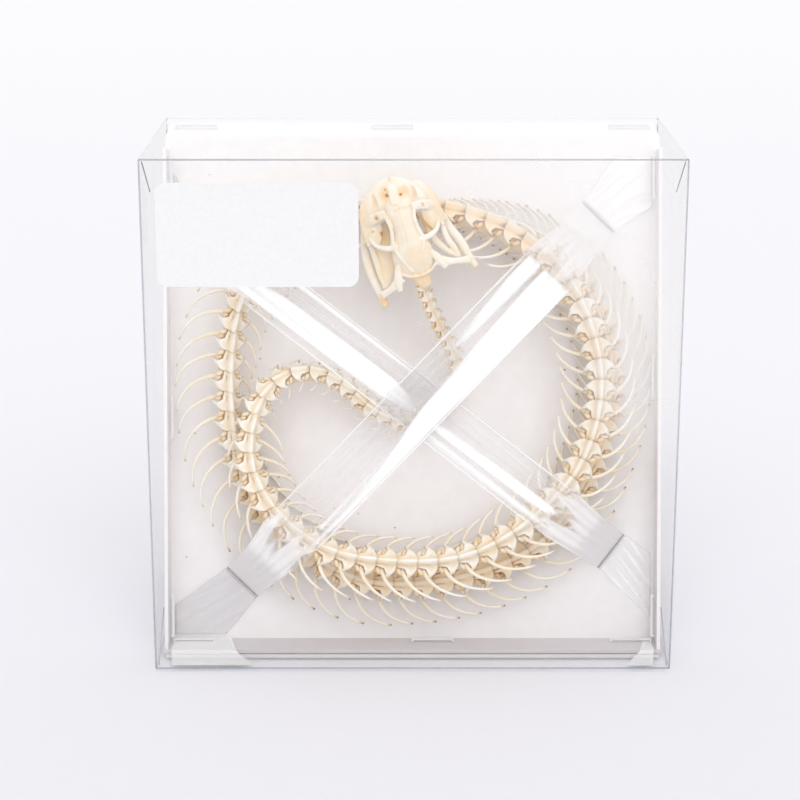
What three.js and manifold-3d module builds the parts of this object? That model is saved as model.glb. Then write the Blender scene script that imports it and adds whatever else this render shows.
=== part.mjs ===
// Coiled snake skeleton, strapped to a card tray that leans back in a clear folding case.
// Millimetres, +Z up, the front of the case faces -Y.
// The origin is the middle of the footprint, on the surface that the case stands on.
import * as THREE from 'three';
import { mergeVertices } from 'three/addons/utils/BufferGeometryUtils.js';
import Module from 'manifold-3d';

const wasm = await Module();
wasm.setup();

// Case
const CASE_WIDTH = 150;
const CASE_HEIGHT = 150;
const CASE_DEPTH = 75;
const SHEET = 0.6;
const GAP = 0.3;

// Label on the front of the case
const LABEL_WIDTH = 55.5;
const LABEL_HEIGHT = 29;
const LABEL_THICK = 0.4;
const LABEL_LEFT = 4.5;
const LABEL_TOP = 6.5;
const LABEL_CORNER = 3;

// Card tray
const TRAY_SIZE = 146.6;
const TRAY_LEAN = THREE.MathUtils.degToRad(14);
const TRAY_FOLD_FROM_FRONT = 19.2;
const CARD = 1.2;
const RIM = 9.6;
const TRAY_TOP_EXTRA = 3.6;
const TOP_FLAP = 18.4;
const TOP_FLAP_RISE = THREE.MathUtils.degToRad(5);

// Staples in the four walls of the tray
const STAPLE_CROWN = 12.5;
const STAPLE_WIRE = 0.6;
const STAPLE_LEG = 0.5;
const STAPLE_OFFSETS = [-65, -6, 65];

// Straps: film width at the middle and at the board, and how high they ride
const FILM = 0.5;
const STRAP_WIDE = 17;
const STRAP_NARROW = 12.6;
const STRAP_CREST = 18.9;
const STRAP_SHOULDER = 0.85;
const STRAP_RISE = 20;

// Coil of the spine on the board, seen from the front: u to the right, v up, w off the board
const COIL_U = 0.6;
const COIL_V = 2;
const LEAN_UP = 0.25;
const LEAN_ON_ARCS = 0.7;
const LEAN_IN = 0.2;
const LEAN_FROM = 4.5;
const LEAN_FULL = 10;

// One full-grown vertebra
const PITCH = 6;
const WING_HALF = 4.4;
const WAIST_HALF = 2.3;
const CREST = 4.1;
const BELLY = 2.6;
const NECK_SIZE = 0.58;
const TAIL_SIZE = 0.3;

// Ribs
const RIB_ROOT = 1.2;
const RIB_THICK = 0.62;
const RIB_TIP = 0.34;
const RIB_SWEEP = 10;
const RIB_BEND = THREE.MathUtils.degToRad(86);
const NECK_RIB = { reach: 5.2, drop: 1.5, sweep: 3, radius: 0.3 };
const RIB_FLOOR = 0.9;

// Skull
const SKULL_AT = { u: 1.2, v: 36.3, w: 22.4 };
const SKULL_TURN = THREE.MathUtils.degToRad(16.5);
const SKULL_PITCH = THREE.MathUtils.degToRad(2);
const TEETH = 9;
const JAW_SPLAY = 0.13;
const JAW_SHIFT = 1.2;
const SPLAY_LENGTH = 10;

// Neck from the occiput to the coil: u, v, w of the middle of the bone
const NECK = [
  [2, 34.6, 21.6], [4, 28.6, 18.6], [7, 21.8, 14.4], [10.6, 15.2, 10.4], [12.7, 8.7, 7.2],
  [11.2, 0.8, 5.6], [5, -5.6, 5.2], [-2.8, -7.4, 5.4], [-11.1, -4.2, 6.2], [-19.2, 2.6, 7.8],
  [-27.6, 6.9, 9.4], [-34.8, 7, 10.4], [-40.8, 3.9, 10.9],
];

// Coil stations: turn in degrees, radius, height, outer rib reach, inner rib reach, rib drop
const STATIONS = [
  [184, 45.5, 11.2, 2.6, 7.5, 3], [195, 50.3, 12.6, 4, 8, 3.4], [206, 53.4, 13.6, 6, 8.5, 4.4],
  [220, 54.5, 14, 8.5, 8.5, 5.2], [236, 54, 14, 8.5, 8.5, 5.2], [254, 51.6, 14, 8.5, 8.5, 5.2],
  [290, 50.7, 14, 8.5, 8.5, 5.2], [331, 52.3, 14, 8.5, 8.5, 5.2], [362, 53.9, 14, 8.5, 8.5, 5.2],
  [392, 54, 14, 8.5, 8.5, 5.2], [420, 53, 14, 7, 8.5, 4.6], [455, 53.2, 14, 7, 8.5, 4.6],
  [480, 55.2, 14, 9, 8.5, 5.2], [503, 57.6, 13, 11, 8, 5.2], [517, 57, 11.8, 13, 7, 5.2],
  [532, 55.4, 9.8, 13.5, 5, 5], [545, 55, 7.6, 13.5, 5, 4.6], [557, 55.5, 6, 13.5, 6, 4],
  [570, 56.3, 5.1, 13.5, 8, 3.5], [588, 57.9, 4.7, 12, 8.5, 3.3], [620, 58.4, 4.6, 10, 9, 3.2],
  [670, 58.8, 4.6, 10, 10, 3.2], [720, 58.4, 4.6, 10, 10, 3.2], [748, 58.8, 4.6, 10, 9, 3.2],
  [772, 57, 4.5, 7, 6.5, 3], [792, 54.6, 4.1, 4, 4, 2.4], [816, 53.4, 3.4, 0, 0, 1],
  [842, 53.4, 2.4, 0, 0, 1],
];

// Lengths of the spine, from the skull to the tail, with the share of bones in each
const LENGTHS = [
  ['neck_front', 14], ['neck_rear', 12],
  ['trunk_01', 10], ['trunk_02', 10], ['trunk_03', 10], ['trunk_04', 10], ['trunk_05', 10], ['trunk_06', 10],
  ['trunk_07', 10], ['trunk_08', 10], ['trunk_09', 10], ['trunk_10', 10], ['trunk_11', 10],
  ['tail', 40],
];

const finish = (color, roughness, extra = {}) =>
  new THREE.MeshStandardMaterial({ color, roughness, metalness: 0, flatShading: true, ...extra });

const clearSheet = finish(0xe8ecf4, 0.08, { transparent: true, opacity: 0.25 });
const clearFilm = finish(0xf2f2f4, 0.15, { transparent: true, opacity: 0.4 });
const card = finish(0xece8e6, 0.85);
const paper = finish(0xf4f4f4, 0.7);
const steel = finish(0x8c8c90, 0.35, { metalness: 1 });
const bone = finish(0xf1e8d6, 0.55);
const boneDark = finish(0xe6d3b0, 0.6);

// Closed surface through rings of points; a ring of one point is a tip
function loft(rings) {
  const positions = [];
  const starts = [];
  for (const ring of rings) {
    starts.push(positions.length / 3);
    for (const p of ring) positions.push(p.x, p.y, p.z);
  }
  const faces = [];
  for (let i = 0; i + 1 < rings.length; i++) {
    const n = rings[i].length;
    const isTip = rings[i + 1].length === 1;
    for (let j = 0; j < n; j++) {
      const a = starts[i] + j;
      const b = starts[i] + ((j + 1) % n);
      if (isTip) {
        faces.push(a, b, starts[i + 1]);
        continue;
      }
      const c = starts[i + 1] + j;
      const d = starts[i + 1] + ((j + 1) % n);
      faces.push(a, b, d, a, d, c);
    }
  }
  for (let j = 1; j + 1 < rings[0].length; j++) faces.push(starts[0], starts[0] + j + 1, starts[0] + j);
  const last = rings.length - 1;
  for (let j = 1; j + 1 < rings[last].length; j++) {
    faces.push(starts[last], starts[last] + j, starts[last] + j + 1);
  }
  const geometry = new THREE.BufferGeometry();
  geometry.setAttribute('position', new THREE.Float32BufferAttribute(positions, 3));
  geometry.setIndex(faces);
  return geometry;
}

// Closed solid of a geometry, with its faces turned outwards
function solidOf(geometry) {
  const bare = geometry.clone();
  for (const name of ['normal', 'uv']) bare.deleteAttribute(name);
  const welded = mergeVertices(bare, 1e-4);
  const vertProperties = new Float32Array(welded.attributes.position.array);
  const triVerts = new Uint32Array(welded.index.array);
  const solid = new wasm.Manifold(new wasm.Mesh({ numProp: 3, vertProperties, triVerts }));
  if (solid.volume() > 0) return solid;
  for (let i = 0; i < triVerts.length; i += 3) {
    const swap = triVerts[i];
    triVerts[i] = triVerts[i + 1];
    triVerts[i + 1] = swap;
  }
  return new wasm.Manifold(new wasm.Mesh({ numProp: 3, vertProperties, triVerts }));
}

function geometryOf(solid) {
  const mesh = solid.getMesh();
  const geometry = new THREE.BufferGeometry();
  geometry.setAttribute('position', new THREE.Float32BufferAttribute(mesh.vertProperties, 3));
  geometry.setIndex(new THREE.Uint32BufferAttribute(mesh.triVerts, 1));
  return geometry;
}

// Joins closed pieces into one and keeps its largest closed surface
function fuse(geometries) {
  let whole = solidOf(geometries[0]);
  for (const geometry of geometries.slice(1)) whole = whole.add(solidOf(geometry));
  const bodies = whole.decompose().sort((a, b) => b.volume() - a.volume());
  return geometryOf(bodies[0]);
}

function addMesh(group, name, geometry, material) {
  const mesh = new THREE.Mesh(geometry, material);
  mesh.name = name;
  group.add(mesh);
  return mesh;
}

const at = (u, v, w) => new THREE.Vector3(u, v, w);

function box(x0, x1, y0, y1, z0, z1) {
  const geometry = new THREE.BoxGeometry(x1 - x0, y1 - y0, z1 - z0);
  return geometry.translate((x0 + x1) / 2, (y0 + y1) / 2, (z0 + z1) / 2);
}

// Extrudes an outline given as v, w pairs along u
function extrudeAcross(outline, from, to) {
  const shape = new THREE.Shape(outline.map(([v, w]) => new THREE.Vector2(v, w)));
  const geometry = new THREE.ExtrudeGeometry(shape, { depth: to - from, bevelEnabled: false });
  geometry.translate(0, 0, from);
  const turn = new THREE.Matrix4().makeBasis(at(0, 1, 0), at(0, 0, 1), at(1, 0, 0));
  return geometry.applyMatrix4(turn);
}

// Tapered bar of few sides along points; sizes are half-widths across and half-heights
function bar(points, wide, high, sides = 6, steps = 6) {
  const curve = new THREE.CatmullRomCurve3(points);
  const rings = [];
  const up = at(0, 0, 1);
  for (let i = 0; i <= steps; i++) {
    const t = i / steps;
    const p = curve.getPointAt(t);
    const along = curve.getTangentAt(t);
    const across = new THREE.Vector3().crossVectors(along, up).normalize();
    const over = new THREE.Vector3().crossVectors(across, along);
    const ring = [];
    for (let j = 0; j < sides; j++) {
      const a = (j / sides) * 2 * Math.PI;
      const edge = p.clone().addScaledVector(across, Math.cos(a) * wide(t));
      ring.push(edge.addScaledVector(over, Math.sin(a) * high(t)));
    }
    rings.push(ring);
  }
  return loft(rings);
}

// Case: a cover open at the back, and the panel that closes it
const caseFront = -CASE_DEPTH / 2 + LABEL_THICK + GAP;
const caseBack = CASE_DEPTH / 2;
const coverBack = caseBack - SHEET - GAP;

function caseCover() {
  const half = CASE_WIDTH / 2;
  const outside = solidOf(box(-half, half, caseFront, coverBack, 0, CASE_HEIGHT));
  const inside = box(
    -half + SHEET, half - SHEET, caseFront + SHEET, coverBack + SHEET, SHEET, CASE_HEIGHT - SHEET);
  return geometryOf(outside.subtract(solidOf(inside)));
}

function label() {
  const x0 = -CASE_WIDTH / 2 + LABEL_LEFT;
  const z1 = CASE_HEIGHT - LABEL_TOP;
  const r = LABEL_CORNER;
  const shape = new THREE.Shape();
  shape.moveTo(r, 0);
  shape.lineTo(LABEL_WIDTH - r, 0);
  shape.absarc(LABEL_WIDTH - r, r, r, -Math.PI / 2, 0);
  shape.absarc(LABEL_WIDTH - r, LABEL_HEIGHT - r, r, 0, Math.PI / 2);
  shape.absarc(r, LABEL_HEIGHT - r, r, Math.PI / 2, Math.PI);
  shape.absarc(r, r, r, Math.PI, 1.5 * Math.PI);
  const extrusion = { depth: LABEL_THICK, bevelEnabled: false, curveSegments: 4 };
  const geometry = new THREE.ExtrudeGeometry(shape, extrusion);
  geometry.rotateX(Math.PI / 2);
  return geometry.translate(x0, -CASE_DEPTH / 2 + LABEL_THICK, z1 - LABEL_HEIGHT);
}

// Tray, in board coordinates: the front of the board is w = 0
const half = TRAY_SIZE / 2;
const boardTop = half + TRAY_TOP_EXTRA;
const sinLean = Math.sin(TRAY_LEAN);
const cosLean = Math.cos(TRAY_LEAN);
const boardY = -CASE_DEPTH / 2 + TRAY_FOLD_FROM_FRONT + half * sinLean;
const boardZ = SHEET + GAP + half * cosLean + CARD * sinLean;
const flapTurn = TRAY_LEAN + TOP_FLAP_RISE;
const flapRun = [Math.sin(flapTurn), -Math.cos(flapTurn)];
const flapDown = [-Math.cos(flapTurn), -Math.sin(flapTurn)];
const SINK = 0.2;

function tray() {
  const corner = [-half - SINK * sinLean, -CARD + SINK * cosLean];
  const rimRun = [-RIM * sinLean, RIM * cosLean];
  const rimUp = [CARD * cosLean, CARD * sinLean];
  const rimOutline = [
    corner,
    [corner[0] + rimRun[0], corner[1] + rimRun[1]],
    [corner[0] + rimRun[0] + rimUp[0], corner[1] + rimRun[1] + rimUp[1]],
    [corner[0] + rimUp[0], corner[1] + rimUp[1]],
  ];
  const top = [boardTop + SINK * flapDown[0], SINK * flapDown[1]];
  const flapEnd = [top[0] + TOP_FLAP * flapRun[0], top[1] + TOP_FLAP * flapRun[1]];
  const flapOutline = [
    top,
    [top[0] + CARD * flapDown[0], top[1] + CARD * flapDown[1]],
    [flapEnd[0] + CARD * flapDown[0], flapEnd[1] + CARD * flapDown[1]],
    flapEnd,
  ];
  const sideOutline = [
    [-half + SINK, -CARD + SINK], [half - SINK, -CARD + SINK], [half - SINK, RIM - CARD],
    [-half + SINK - (RIM - CARD) * Math.tan(TRAY_LEAN), RIM - CARD],
  ];
  const pieces = [
    box(-half, half, -half, boardTop, -CARD, 0),
    extrudeAcross(rimOutline, -half, half),
    extrudeAcross(flapOutline, -half, half),
    extrudeAcross(sideOutline, -half + SINK, -half + CARD),
    extrudeAcross(sideOutline, half - CARD, half - SINK),
  ];
  return fuse(pieces);
}

// Wire staple lying along x, with its legs towards -y
function staple() {
  const end = STAPLE_CROWN / 2;
  const shape = new THREE.Shape([
    [-end, 0], [-end + STAPLE_WIRE, 0], [-end + STAPLE_WIRE, STAPLE_LEG], [end - STAPLE_WIRE, STAPLE_LEG],
    [end - STAPLE_WIRE, 0], [end, 0], [end, STAPLE_LEG + STAPLE_WIRE], [-end, STAPLE_LEG + STAPLE_WIRE],
  ].map(([x, y]) => new THREE.Vector2(x, y)));
  const geometry = new THREE.ExtrudeGeometry(shape, { depth: STAPLE_WIRE, bevelEnabled: false });
  return geometry.translate(0, 0, -STAPLE_WIRE / 2);
}

function addStaples(group) {
  const mid = (RIM - CARD) / 2;
  const flapMid = TOP_FLAP * 0.55;
  const walls = {
    top: {
      out: at(0, -flapDown[0], -flapDown[1]), along: at(1, 0, 0), lift: GAP - SINK,
      foot: at(0, boardTop + flapMid * flapRun[0], flapMid * flapRun[1]),
    },
    bottom: {
      out: at(0, cosLean, sinLean), along: at(-1, 0, 0), lift: CARD + GAP,
      foot: at(0, -half - mid * sinLean, -CARD + mid * cosLean),
    },
    left: { out: at(1, 0, 0), foot: at(-half, 0, mid), along: at(0, 1, 0), lift: CARD + GAP },
    right: { out: at(-1, 0, 0), foot: at(half, 0, mid), along: at(0, -1, 0), lift: CARD + GAP },
  };
  for (const [side, wall] of Object.entries(walls)) {
    STAPLE_OFFSETS.forEach((offset, i) => {
      const across = new THREE.Vector3().crossVectors(wall.along, wall.out);
      const place = wall.foot.clone().addScaledVector(wall.along, offset);
      place.addScaledVector(wall.out, wall.lift);
      const frame = new THREE.Matrix4().makeBasis(wall.along, wall.out, across).setPosition(place);
      addMesh(group, `staple_${side}_${i + 1}`, staple().applyMatrix4(frame), steel);
    });
  }
}

// Strap: a run of film over the coil, given by its two creases on the board and its two ends
function strap({ from, to, endRun, sag, width }) {
  const a = new THREE.Vector2(...from);
  const b = new THREE.Vector2(...to);
  const run = b.clone().sub(a);
  const span = run.length();
  run.normalize();
  const side = new THREE.Vector2(-run.y, run.x);
  const rise = STRAP_RISE;
  const stations = [
    [-endRun[0], GAP, STRAP_NARROW], [-2, GAP, STRAP_NARROW], [0.5, 1, STRAP_NARROW],
    [rise * 0.55, STRAP_CREST * STRAP_SHOULDER, STRAP_NARROW + 1], [rise, STRAP_CREST, width],
    [rise + 8, STRAP_CREST + 0.2, width], [span / 2 - 16, STRAP_CREST + sag * 0.9, width],
    [span / 2, STRAP_CREST + sag, width], [span / 2 + 16, STRAP_CREST + sag * 0.9, width],
    [span - rise - 8, STRAP_CREST + 0.2, width], [span - rise, STRAP_CREST, width],
    [span - rise * 0.55, STRAP_CREST * STRAP_SHOULDER, STRAP_NARROW + 1], [span - 0.5, 1, STRAP_NARROW],
    [span + 2, GAP, STRAP_NARROW], [span + endRun[1], GAP, STRAP_NARROW],
  ];
  const rings = stations.map(([along, height, wide]) => {
    const p = a.clone().addScaledVector(run, along);
    const left = p.clone().addScaledVector(side, wide / 2);
    const right = p.clone().addScaledVector(side, -wide / 2);
    return [
      at(left.x, left.y, height), at(right.x, right.y, height),
      at(right.x, right.y, height + FILM), at(left.x, left.y, height + FILM),
    ];
  });
  return geometryOf(solidOf(loft(rings)));
}

// Spine: one curve from the skull to the tail
const onCoil = ([turn, radius, height]) => {
  const angle = THREE.MathUtils.degToRad(turn);
  return at(COIL_U + radius * Math.cos(angle), COIL_V + radius * Math.sin(angle), height);
};
const spine = new THREE.CatmullRomCurve3([...NECK.map((p) => at(...p)), ...STATIONS.map(onCoil)]);
const SPINE_STEPS = 3000;
spine.arcLengthDivisions = SPINE_STEPS;
const spineLength = spine.getLength();

// Value of a station column at a place on the coil, by how far round the coil it is
const stationLengths = (() => {
  const lengths = spine.getLengths(SPINE_STEPS);
  const count = NECK.length + STATIONS.length - 1;
  return STATIONS.map((_, i) => lengths[Math.round(((NECK.length + i) / count) * SPINE_STEPS)]);
})();

function stationValue(s, column) {
  if (s <= stationLengths[0]) return STATIONS[0][column];
  for (let i = 0; i + 1 < STATIONS.length; i++) {
    if (s > stationLengths[i + 1]) continue;
    const t = (s - stationLengths[i]) / (stationLengths[i + 1] - stationLengths[i]);
    return THREE.MathUtils.lerp(STATIONS[i][column], STATIONS[i + 1][column], t);
  }
  return 0;
}

// Size of the bones along the spine: small at the neck, full on the coil, thin at the tail
function boneScale(s) {
  const fromSkull = THREE.MathUtils.smoothstep(s, 0, stationLengths[3]);
  const toTail = 1 - THREE.MathUtils.smoothstep(s, stationLengths[21], spineLength);
  return THREE.MathUtils.lerp(NECK_SIZE, 1, fromSkull) * THREE.MathUtils.lerp(TAIL_SIZE, 1, toTail);
}

function frameAt(s) {
  const t = THREE.MathUtils.clamp(s / spineLength, 0, 1);
  const p = spine.getPointAt(t);
  const back = spine.getTangentAt(t);
  const raised = THREE.MathUtils.smoothstep(p.z, LEAN_FROM, LEAN_FULL);
  const dorsal = at(-LEAN_IN * back.y, LEAN_UP + raised * LEAN_ON_ARCS * back.x ** 2, 1);
  dorsal.addScaledVector(back, -back.dot(dorsal)).normalize();
  const outer = new THREE.Vector3().crossVectors(back, dorsal);
  return { p, back, dorsal, outer };
}

const place = (f, x, z) => f.p.clone().addScaledVector(f.outer, x).addScaledVector(f.dorsal, z);

// Section of a vertebra: crest, shoulders, wings and belly, as shares of the full-grown sizes
function vertebraRing(s, wing, crest) {
  const f = frameAt(s);
  const k = boneScale(s);
  return [
    [0, crest], [WAIST_HALF * 0.45, CREST * 0.42], [wing, 1.1], [WAIST_HALF * 0.75, -BELLY],
    [-WAIST_HALF * 0.75, -BELLY], [-wing, 1.1], [-WAIST_HALF * 0.45, CREST * 0.42],
  ].map(([x, z]) => place(f, x * k, z * k));
}

function rib(s, side) {
  const f = frameAt(s);
  const k = boneScale(s);
  const isNeck = s < stationLengths[0];
  const reach = isNeck ? NECK_RIB.reach * k : stationValue(s, side > 0 ? 3 : 4);
  const drop = isNeck ? NECK_RIB.drop : stationValue(s, 5);
  const sweep = isNeck ? NECK_RIB.sweep : RIB_SWEEP * Math.min(1, reach / 8);
  const thick = isNeck ? NECK_RIB.radius : RIB_THICK * Math.max(0.75, k);
  const shares = isNeck ? [0, 0.5, 1] : [0, 0.3, 0.62, 1];
  const ease = (t) => (1 - Math.cos(t * RIB_BEND)) / (1 - Math.cos(RIB_BEND));
  const line = shares.map((t) => {
    const x = RIB_ROOT * k + (reach * Math.sin(t * RIB_BEND)) / Math.sin(RIB_BEND);
    const p = place(frameAt(s + sweep * ease(t)), side * x, -0.4 * k - drop * ease(t));
    p.z = Math.max(p.z, RIB_FLOOR);
    return p;
  });
  const rings = line.map((p, i) => {
    if (i === line.length - 1) return [p];
    const along = line[i + 1].clone().sub(i ? line[i - 1] : p).normalize();
    const across = new THREE.Vector3().crossVectors(along, f.dorsal).normalize();
    const over = new THREE.Vector3().crossVectors(across, along);
    const r = THREE.MathUtils.lerp(thick, Math.min(thick, RIB_TIP), shares[i]);
    return [0, 1, 2].map((j) => {
      const a = Math.PI / 2 + (j * 2 * Math.PI) / 3;
      return p.clone().addScaledVector(across, r * Math.cos(a)).addScaledVector(over, r * Math.sin(a));
    });
  });
  return loft(rings);
}

// Places of the vertebrae, each a pitch of its own size after the last
const bones = [];
for (let s = 0; s + PITCH * boneScale(s) < spineLength; s += PITCH * boneScale(s)) bones.push(s);

function spineLengthMesh(first, last) {
  const rings = [];
  const ribs = [];
  for (let i = first; i <= last; i++) {
    const s = bones[i];
    const pitch = PITCH * boneScale(s);
    rings.push(vertebraRing(s + 0.05 * pitch, WAIST_HALF * 1.2, CREST * 0.84));
    rings.push(vertebraRing(s + 0.3 * pitch, WING_HALF, CREST * 0.92));
    rings.push(vertebraRing(s + 0.72 * pitch, WAIST_HALF, CREST));
    const hasRibs = i > 2 && stationValue(s, 3) > 1.5;
    if (hasRibs) ribs.push(rib(s + 0.3 * pitch, 1), rib(s + 0.3 * pitch, -1));
  }
  const end = bones[last] + PITCH * boneScale(bones[last]);
  rings.push(vertebraRing(Math.min(end, spineLength) - GAP * 0.3, WAIST_HALF * 0.9, CREST * 0.82));
  return fuse([loft(rings), ...ribs]);
}

function addSpine(group) {
  let first = 0;
  for (const [name, count] of LENGTHS) {
    const last = Math.min(first + count, bones.length) - 1;
    if (last < first) break;
    addMesh(group, name, spineLengthMesh(first, last), name === 'tail' ? boneDark : bone);
    first = last + 1;
  }
}

// Place on the skull, with the jaws' hinges wider and further forward on the right than on the left
function onSkull(side, x, y, z) {
  const back = Math.max(0, (SPLAY_LENGTH - y) / SPLAY_LENGTH);
  return at(side * x * (1 + side * JAW_SPLAY * back), y + side * JAW_SHIFT * back, z);
}

// Skull, in its own coordinates: y to the snout, z to the crown of the head
function skull() {
  const section = (y, wide, low, high) => {
    const ring = [];
    for (let j = 0; j < 8; j++) {
      const a = (j / 8) * 2 * Math.PI + Math.PI / 8;
      ring.push(at(wide * Math.cos(a), y, (high + low) / 2 + ((high - low) / 2) * Math.sin(a)));
    }
    return ring;
  };
  const braincase = loft([
    section(-1.5, 1.8, -1, 1.5), section(0.5, 4.4, -1.6, 3.2), section(4, 5.9, -1.8, 4.4),
    section(7.5, 5.7, -1.6, 4.9), section(10, 4.7, -1.4, 5), section(13.5, 4, -1, 5),
    section(17, 4.3, -0.8, 4.9), section(20, 5.6, -0.8, 4.3), section(24, 5.6, -0.6, 3.2),
    section(26.4, 4.4, -0.4, 2.2), section(28, 1.8, 0, 1.4),
  ]);
  const snout = loft([
    section(17, 7.6, -0.2, 2.2), section(19.6, 9.7, -0.4, 2.8), section(22.4, 9, -0.4, 3),
    section(25, 7.2, -0.3, 2.6), section(27, 4.8, -0.2, 1.9), section(28.4, 2, 0.1, 1.2),
  ]);
  const pieces = [braincase, snout];
  const even = (size) => () => size;
  const swell = (end, middle) => (t) => end + (middle - end) * Math.sin(Math.PI * t);
  for (const side of [-1, 1]) {
    const q = (x, y, z) => onSkull(side, x, y, z);
    const maxilla = [q(6.4, 25, 0.6), q(9.2, 21.6, 0.7), q(10.6, 16, 0.6), q(11, 11, 0.4)];
    const prefrontal = [q(3.6, 18.4, 2.9), q(7, 18.4, 2.2), q(9.6, 17.4, 1)];
    const cheek = [q(7.6, 19, 1.2), q(8.2, 14.6, 0.9), q(8.8, 10.6, 0.7)];
    const postorbital = [q(3.4, 9, 3.4), q(6.6, 9.2, 2.8), q(9.4, 11, 1.6), q(10.4, 13.4, 0.9)];
    const pterygoid = [q(2.6, 19, -0.5), q(6, 13, -0.8), q(9.4, 5.6, -0.9), q(11.4, -1.4, -0.7)];
    const ectopterygoid = [q(11, 11.4, 0), q(11, 7.8, -0.5), q(9.6, 5, -0.8)];
    const supratemporal = [q(3.8, 5.4, 2.6), q(6, 2.4, 2.6), q(7.6, -0.4, 1.9)];
    const quadrate = [q(6.8, 0.4, 2), q(10.4, -1.6, 0.9), q(13.8, -3, -0.5)];
    pieces.push(bar(maxilla, swell(1, 2.1), swell(0.8, 1.2), 6, 8));
    pieces.push(bar(prefrontal, swell(2, 2.8), even(0.9), 6, 4));
    pieces.push(bar(cheek, swell(1.2, 2.4), even(0.55), 6, 4));
    pieces.push(bar(postorbital, even(0.9), even(0.7), 6, 5));
    pieces.push(bar(pterygoid, swell(0.7, 1.5), even(0.6), 6, 6));
    pieces.push(bar(ectopterygoid, even(1), even(0.7), 6, 3));
    pieces.push(bar(supratemporal, even(1.2), even(0.8), 6, 3));
    pieces.push(bar(quadrate, swell(1.5, 1), even(0.8), 6, 4));
    for (let i = 0; i < TEETH; i++) {
      const t = i / (TEETH - 1);
      const x = THREE.MathUtils.lerp(8.6, 11.2, t) + 0.9;
      const y = THREE.MathUtils.lerp(23.6, 13, t);
      const rootAt = (a) => q(x - 0.3, y + 0.42 * Math.cos(a), 0.3 + 0.42 * Math.sin(a));
      const root = [0, 1, 2].map((j) => rootAt(j * 2.1));
      pieces.push(loft([root, [q(x + 1.2, y - 0.5, -0.6)]]));
    }
  }
  return fuse(pieces);
}

function jaw(side) {
  const q = (x, y, z) => onSkull(side, x, y, z);
  const line = [
    q(1.8, 25.6, -2.7), q(7, 23, -2.7), q(10.4, 16.6, -2.8), q(12.6, 9.4, -2.9), q(13.6, 4, -2.9),
    q(13.7, -1.5, -2.8), q(14, -5, -2.7),
  ];
  const wide = (t) => 0.8 + 1.1 * Math.sin(2.6 * t);
  const high = (t) => 0.8 + 0.3 * t;
  return geometryOf(solidOf(bar(line, wide, high, 6, 12)));
}

function addSkull(group) {
  const head = new THREE.Group();
  head.position.set(SKULL_AT.u, SKULL_AT.v, SKULL_AT.w);
  head.rotation.set(SKULL_PITCH, 0, SKULL_TURN);
  addMesh(head, 'skull', skull(), bone);
  addMesh(head, 'jaw_left', jaw(-1), bone);
  addMesh(head, 'jaw_right', jaw(1), bone);
  group.add(head);
}

const specimen = new THREE.Group();
addMesh(specimen, 'case_cover', caseCover(), clearSheet);
const panelHalf = CASE_WIDTH / 2;
const backPanel = box(-panelHalf, panelHalf, caseBack - SHEET, caseBack, 0, CASE_HEIGHT);
addMesh(specimen, 'case_back', backPanel, clearSheet);
addMesh(specimen, 'label', label(), paper);

const insert = new THREE.Group();
insert.position.set(0, boardY, boardZ);
insert.rotation.x = Math.PI / 2 - TRAY_LEAN;
addMesh(insert, 'tray', tray(), card);
addStaples(insert);
addMesh(insert, 'strap_under', strap({
  from: [-62.4, 48], to: [59.2, -46.2], endRun: [6, 7], sag: -1, width: STRAP_WIDE - 1.5,
}), clearFilm);
addMesh(insert, 'strap_over', strap({
  from: [-50.8, -55.4], to: [55, 53.2], endRun: [15, 12], sag: 1.2, width: STRAP_WIDE,
}), clearFilm);
addSpine(insert);
addSkull(insert);
specimen.add(insert);

export default specimen;
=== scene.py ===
import itertools
import math
import random

import bmesh
import bpy
import numpy as np
from mathutils import Matrix, Vector


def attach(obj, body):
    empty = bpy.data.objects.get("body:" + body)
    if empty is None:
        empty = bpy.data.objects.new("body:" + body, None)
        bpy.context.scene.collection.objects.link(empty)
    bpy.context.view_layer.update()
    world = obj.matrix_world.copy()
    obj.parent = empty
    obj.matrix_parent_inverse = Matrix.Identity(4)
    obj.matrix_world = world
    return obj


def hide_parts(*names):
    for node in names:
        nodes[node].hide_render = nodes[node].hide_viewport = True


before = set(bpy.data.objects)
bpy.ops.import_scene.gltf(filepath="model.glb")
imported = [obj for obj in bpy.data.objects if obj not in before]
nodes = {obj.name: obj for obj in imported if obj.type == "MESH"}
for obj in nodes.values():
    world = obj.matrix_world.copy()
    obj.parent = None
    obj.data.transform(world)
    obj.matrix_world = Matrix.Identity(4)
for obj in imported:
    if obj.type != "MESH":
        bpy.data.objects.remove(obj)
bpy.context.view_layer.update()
scene = bpy.context.scene
mm = 0.001
print("frame loaded:", len(nodes), "nodes")

# Case and tray, in millimetres
caseSet = {
    "width": 150.0, "height": 150.0, "depth": 75.0, "back": 36.6, "front": -36.8,
    "sheet": 0.3, "foldRound": 0.5, "bead": 0.26, "beadInset": 0.35, "beadSides": 6,
    "flapInset": 1.1, "flapBead": 0.16, "hemBead": 0.14,
    # depth and height of each flap's edges, from the front corner inwards
    "topFlap": [(-35.8, 149.0), (-19.2, 137.6), (24.0, 137.6), (30.0, 149.0)],
    "bottomFlap": [(-35.8, 1.0), (-19.2, 12.4)],
}
traySet = {
    "size": 146.6, "lean": math.radians(14), "foldFromFront": 19.2, "card": 1.2,
    "foot": 0.9, "edgeInset": 0.6,
}

halfTray = traySet["size"] / 2
boardY = -caseSet["depth"] / 2 + traySet["foldFromFront"] + halfTray * math.sin(traySet["lean"])
boardZ = traySet["foot"] + halfTray * math.cos(traySet["lean"]) + traySet["card"] * math.sin(traySet["lean"])
boardToRoom = (
    Matrix.Scale(mm, 4)
    @ Matrix.Translation((0, boardY, boardZ))
    @ Matrix.Rotation(math.pi / 2 - traySet["lean"], 4, "X")
)
roomScale = Matrix.Scale(mm, 4)
up = Vector((0, 0, 1))


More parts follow.
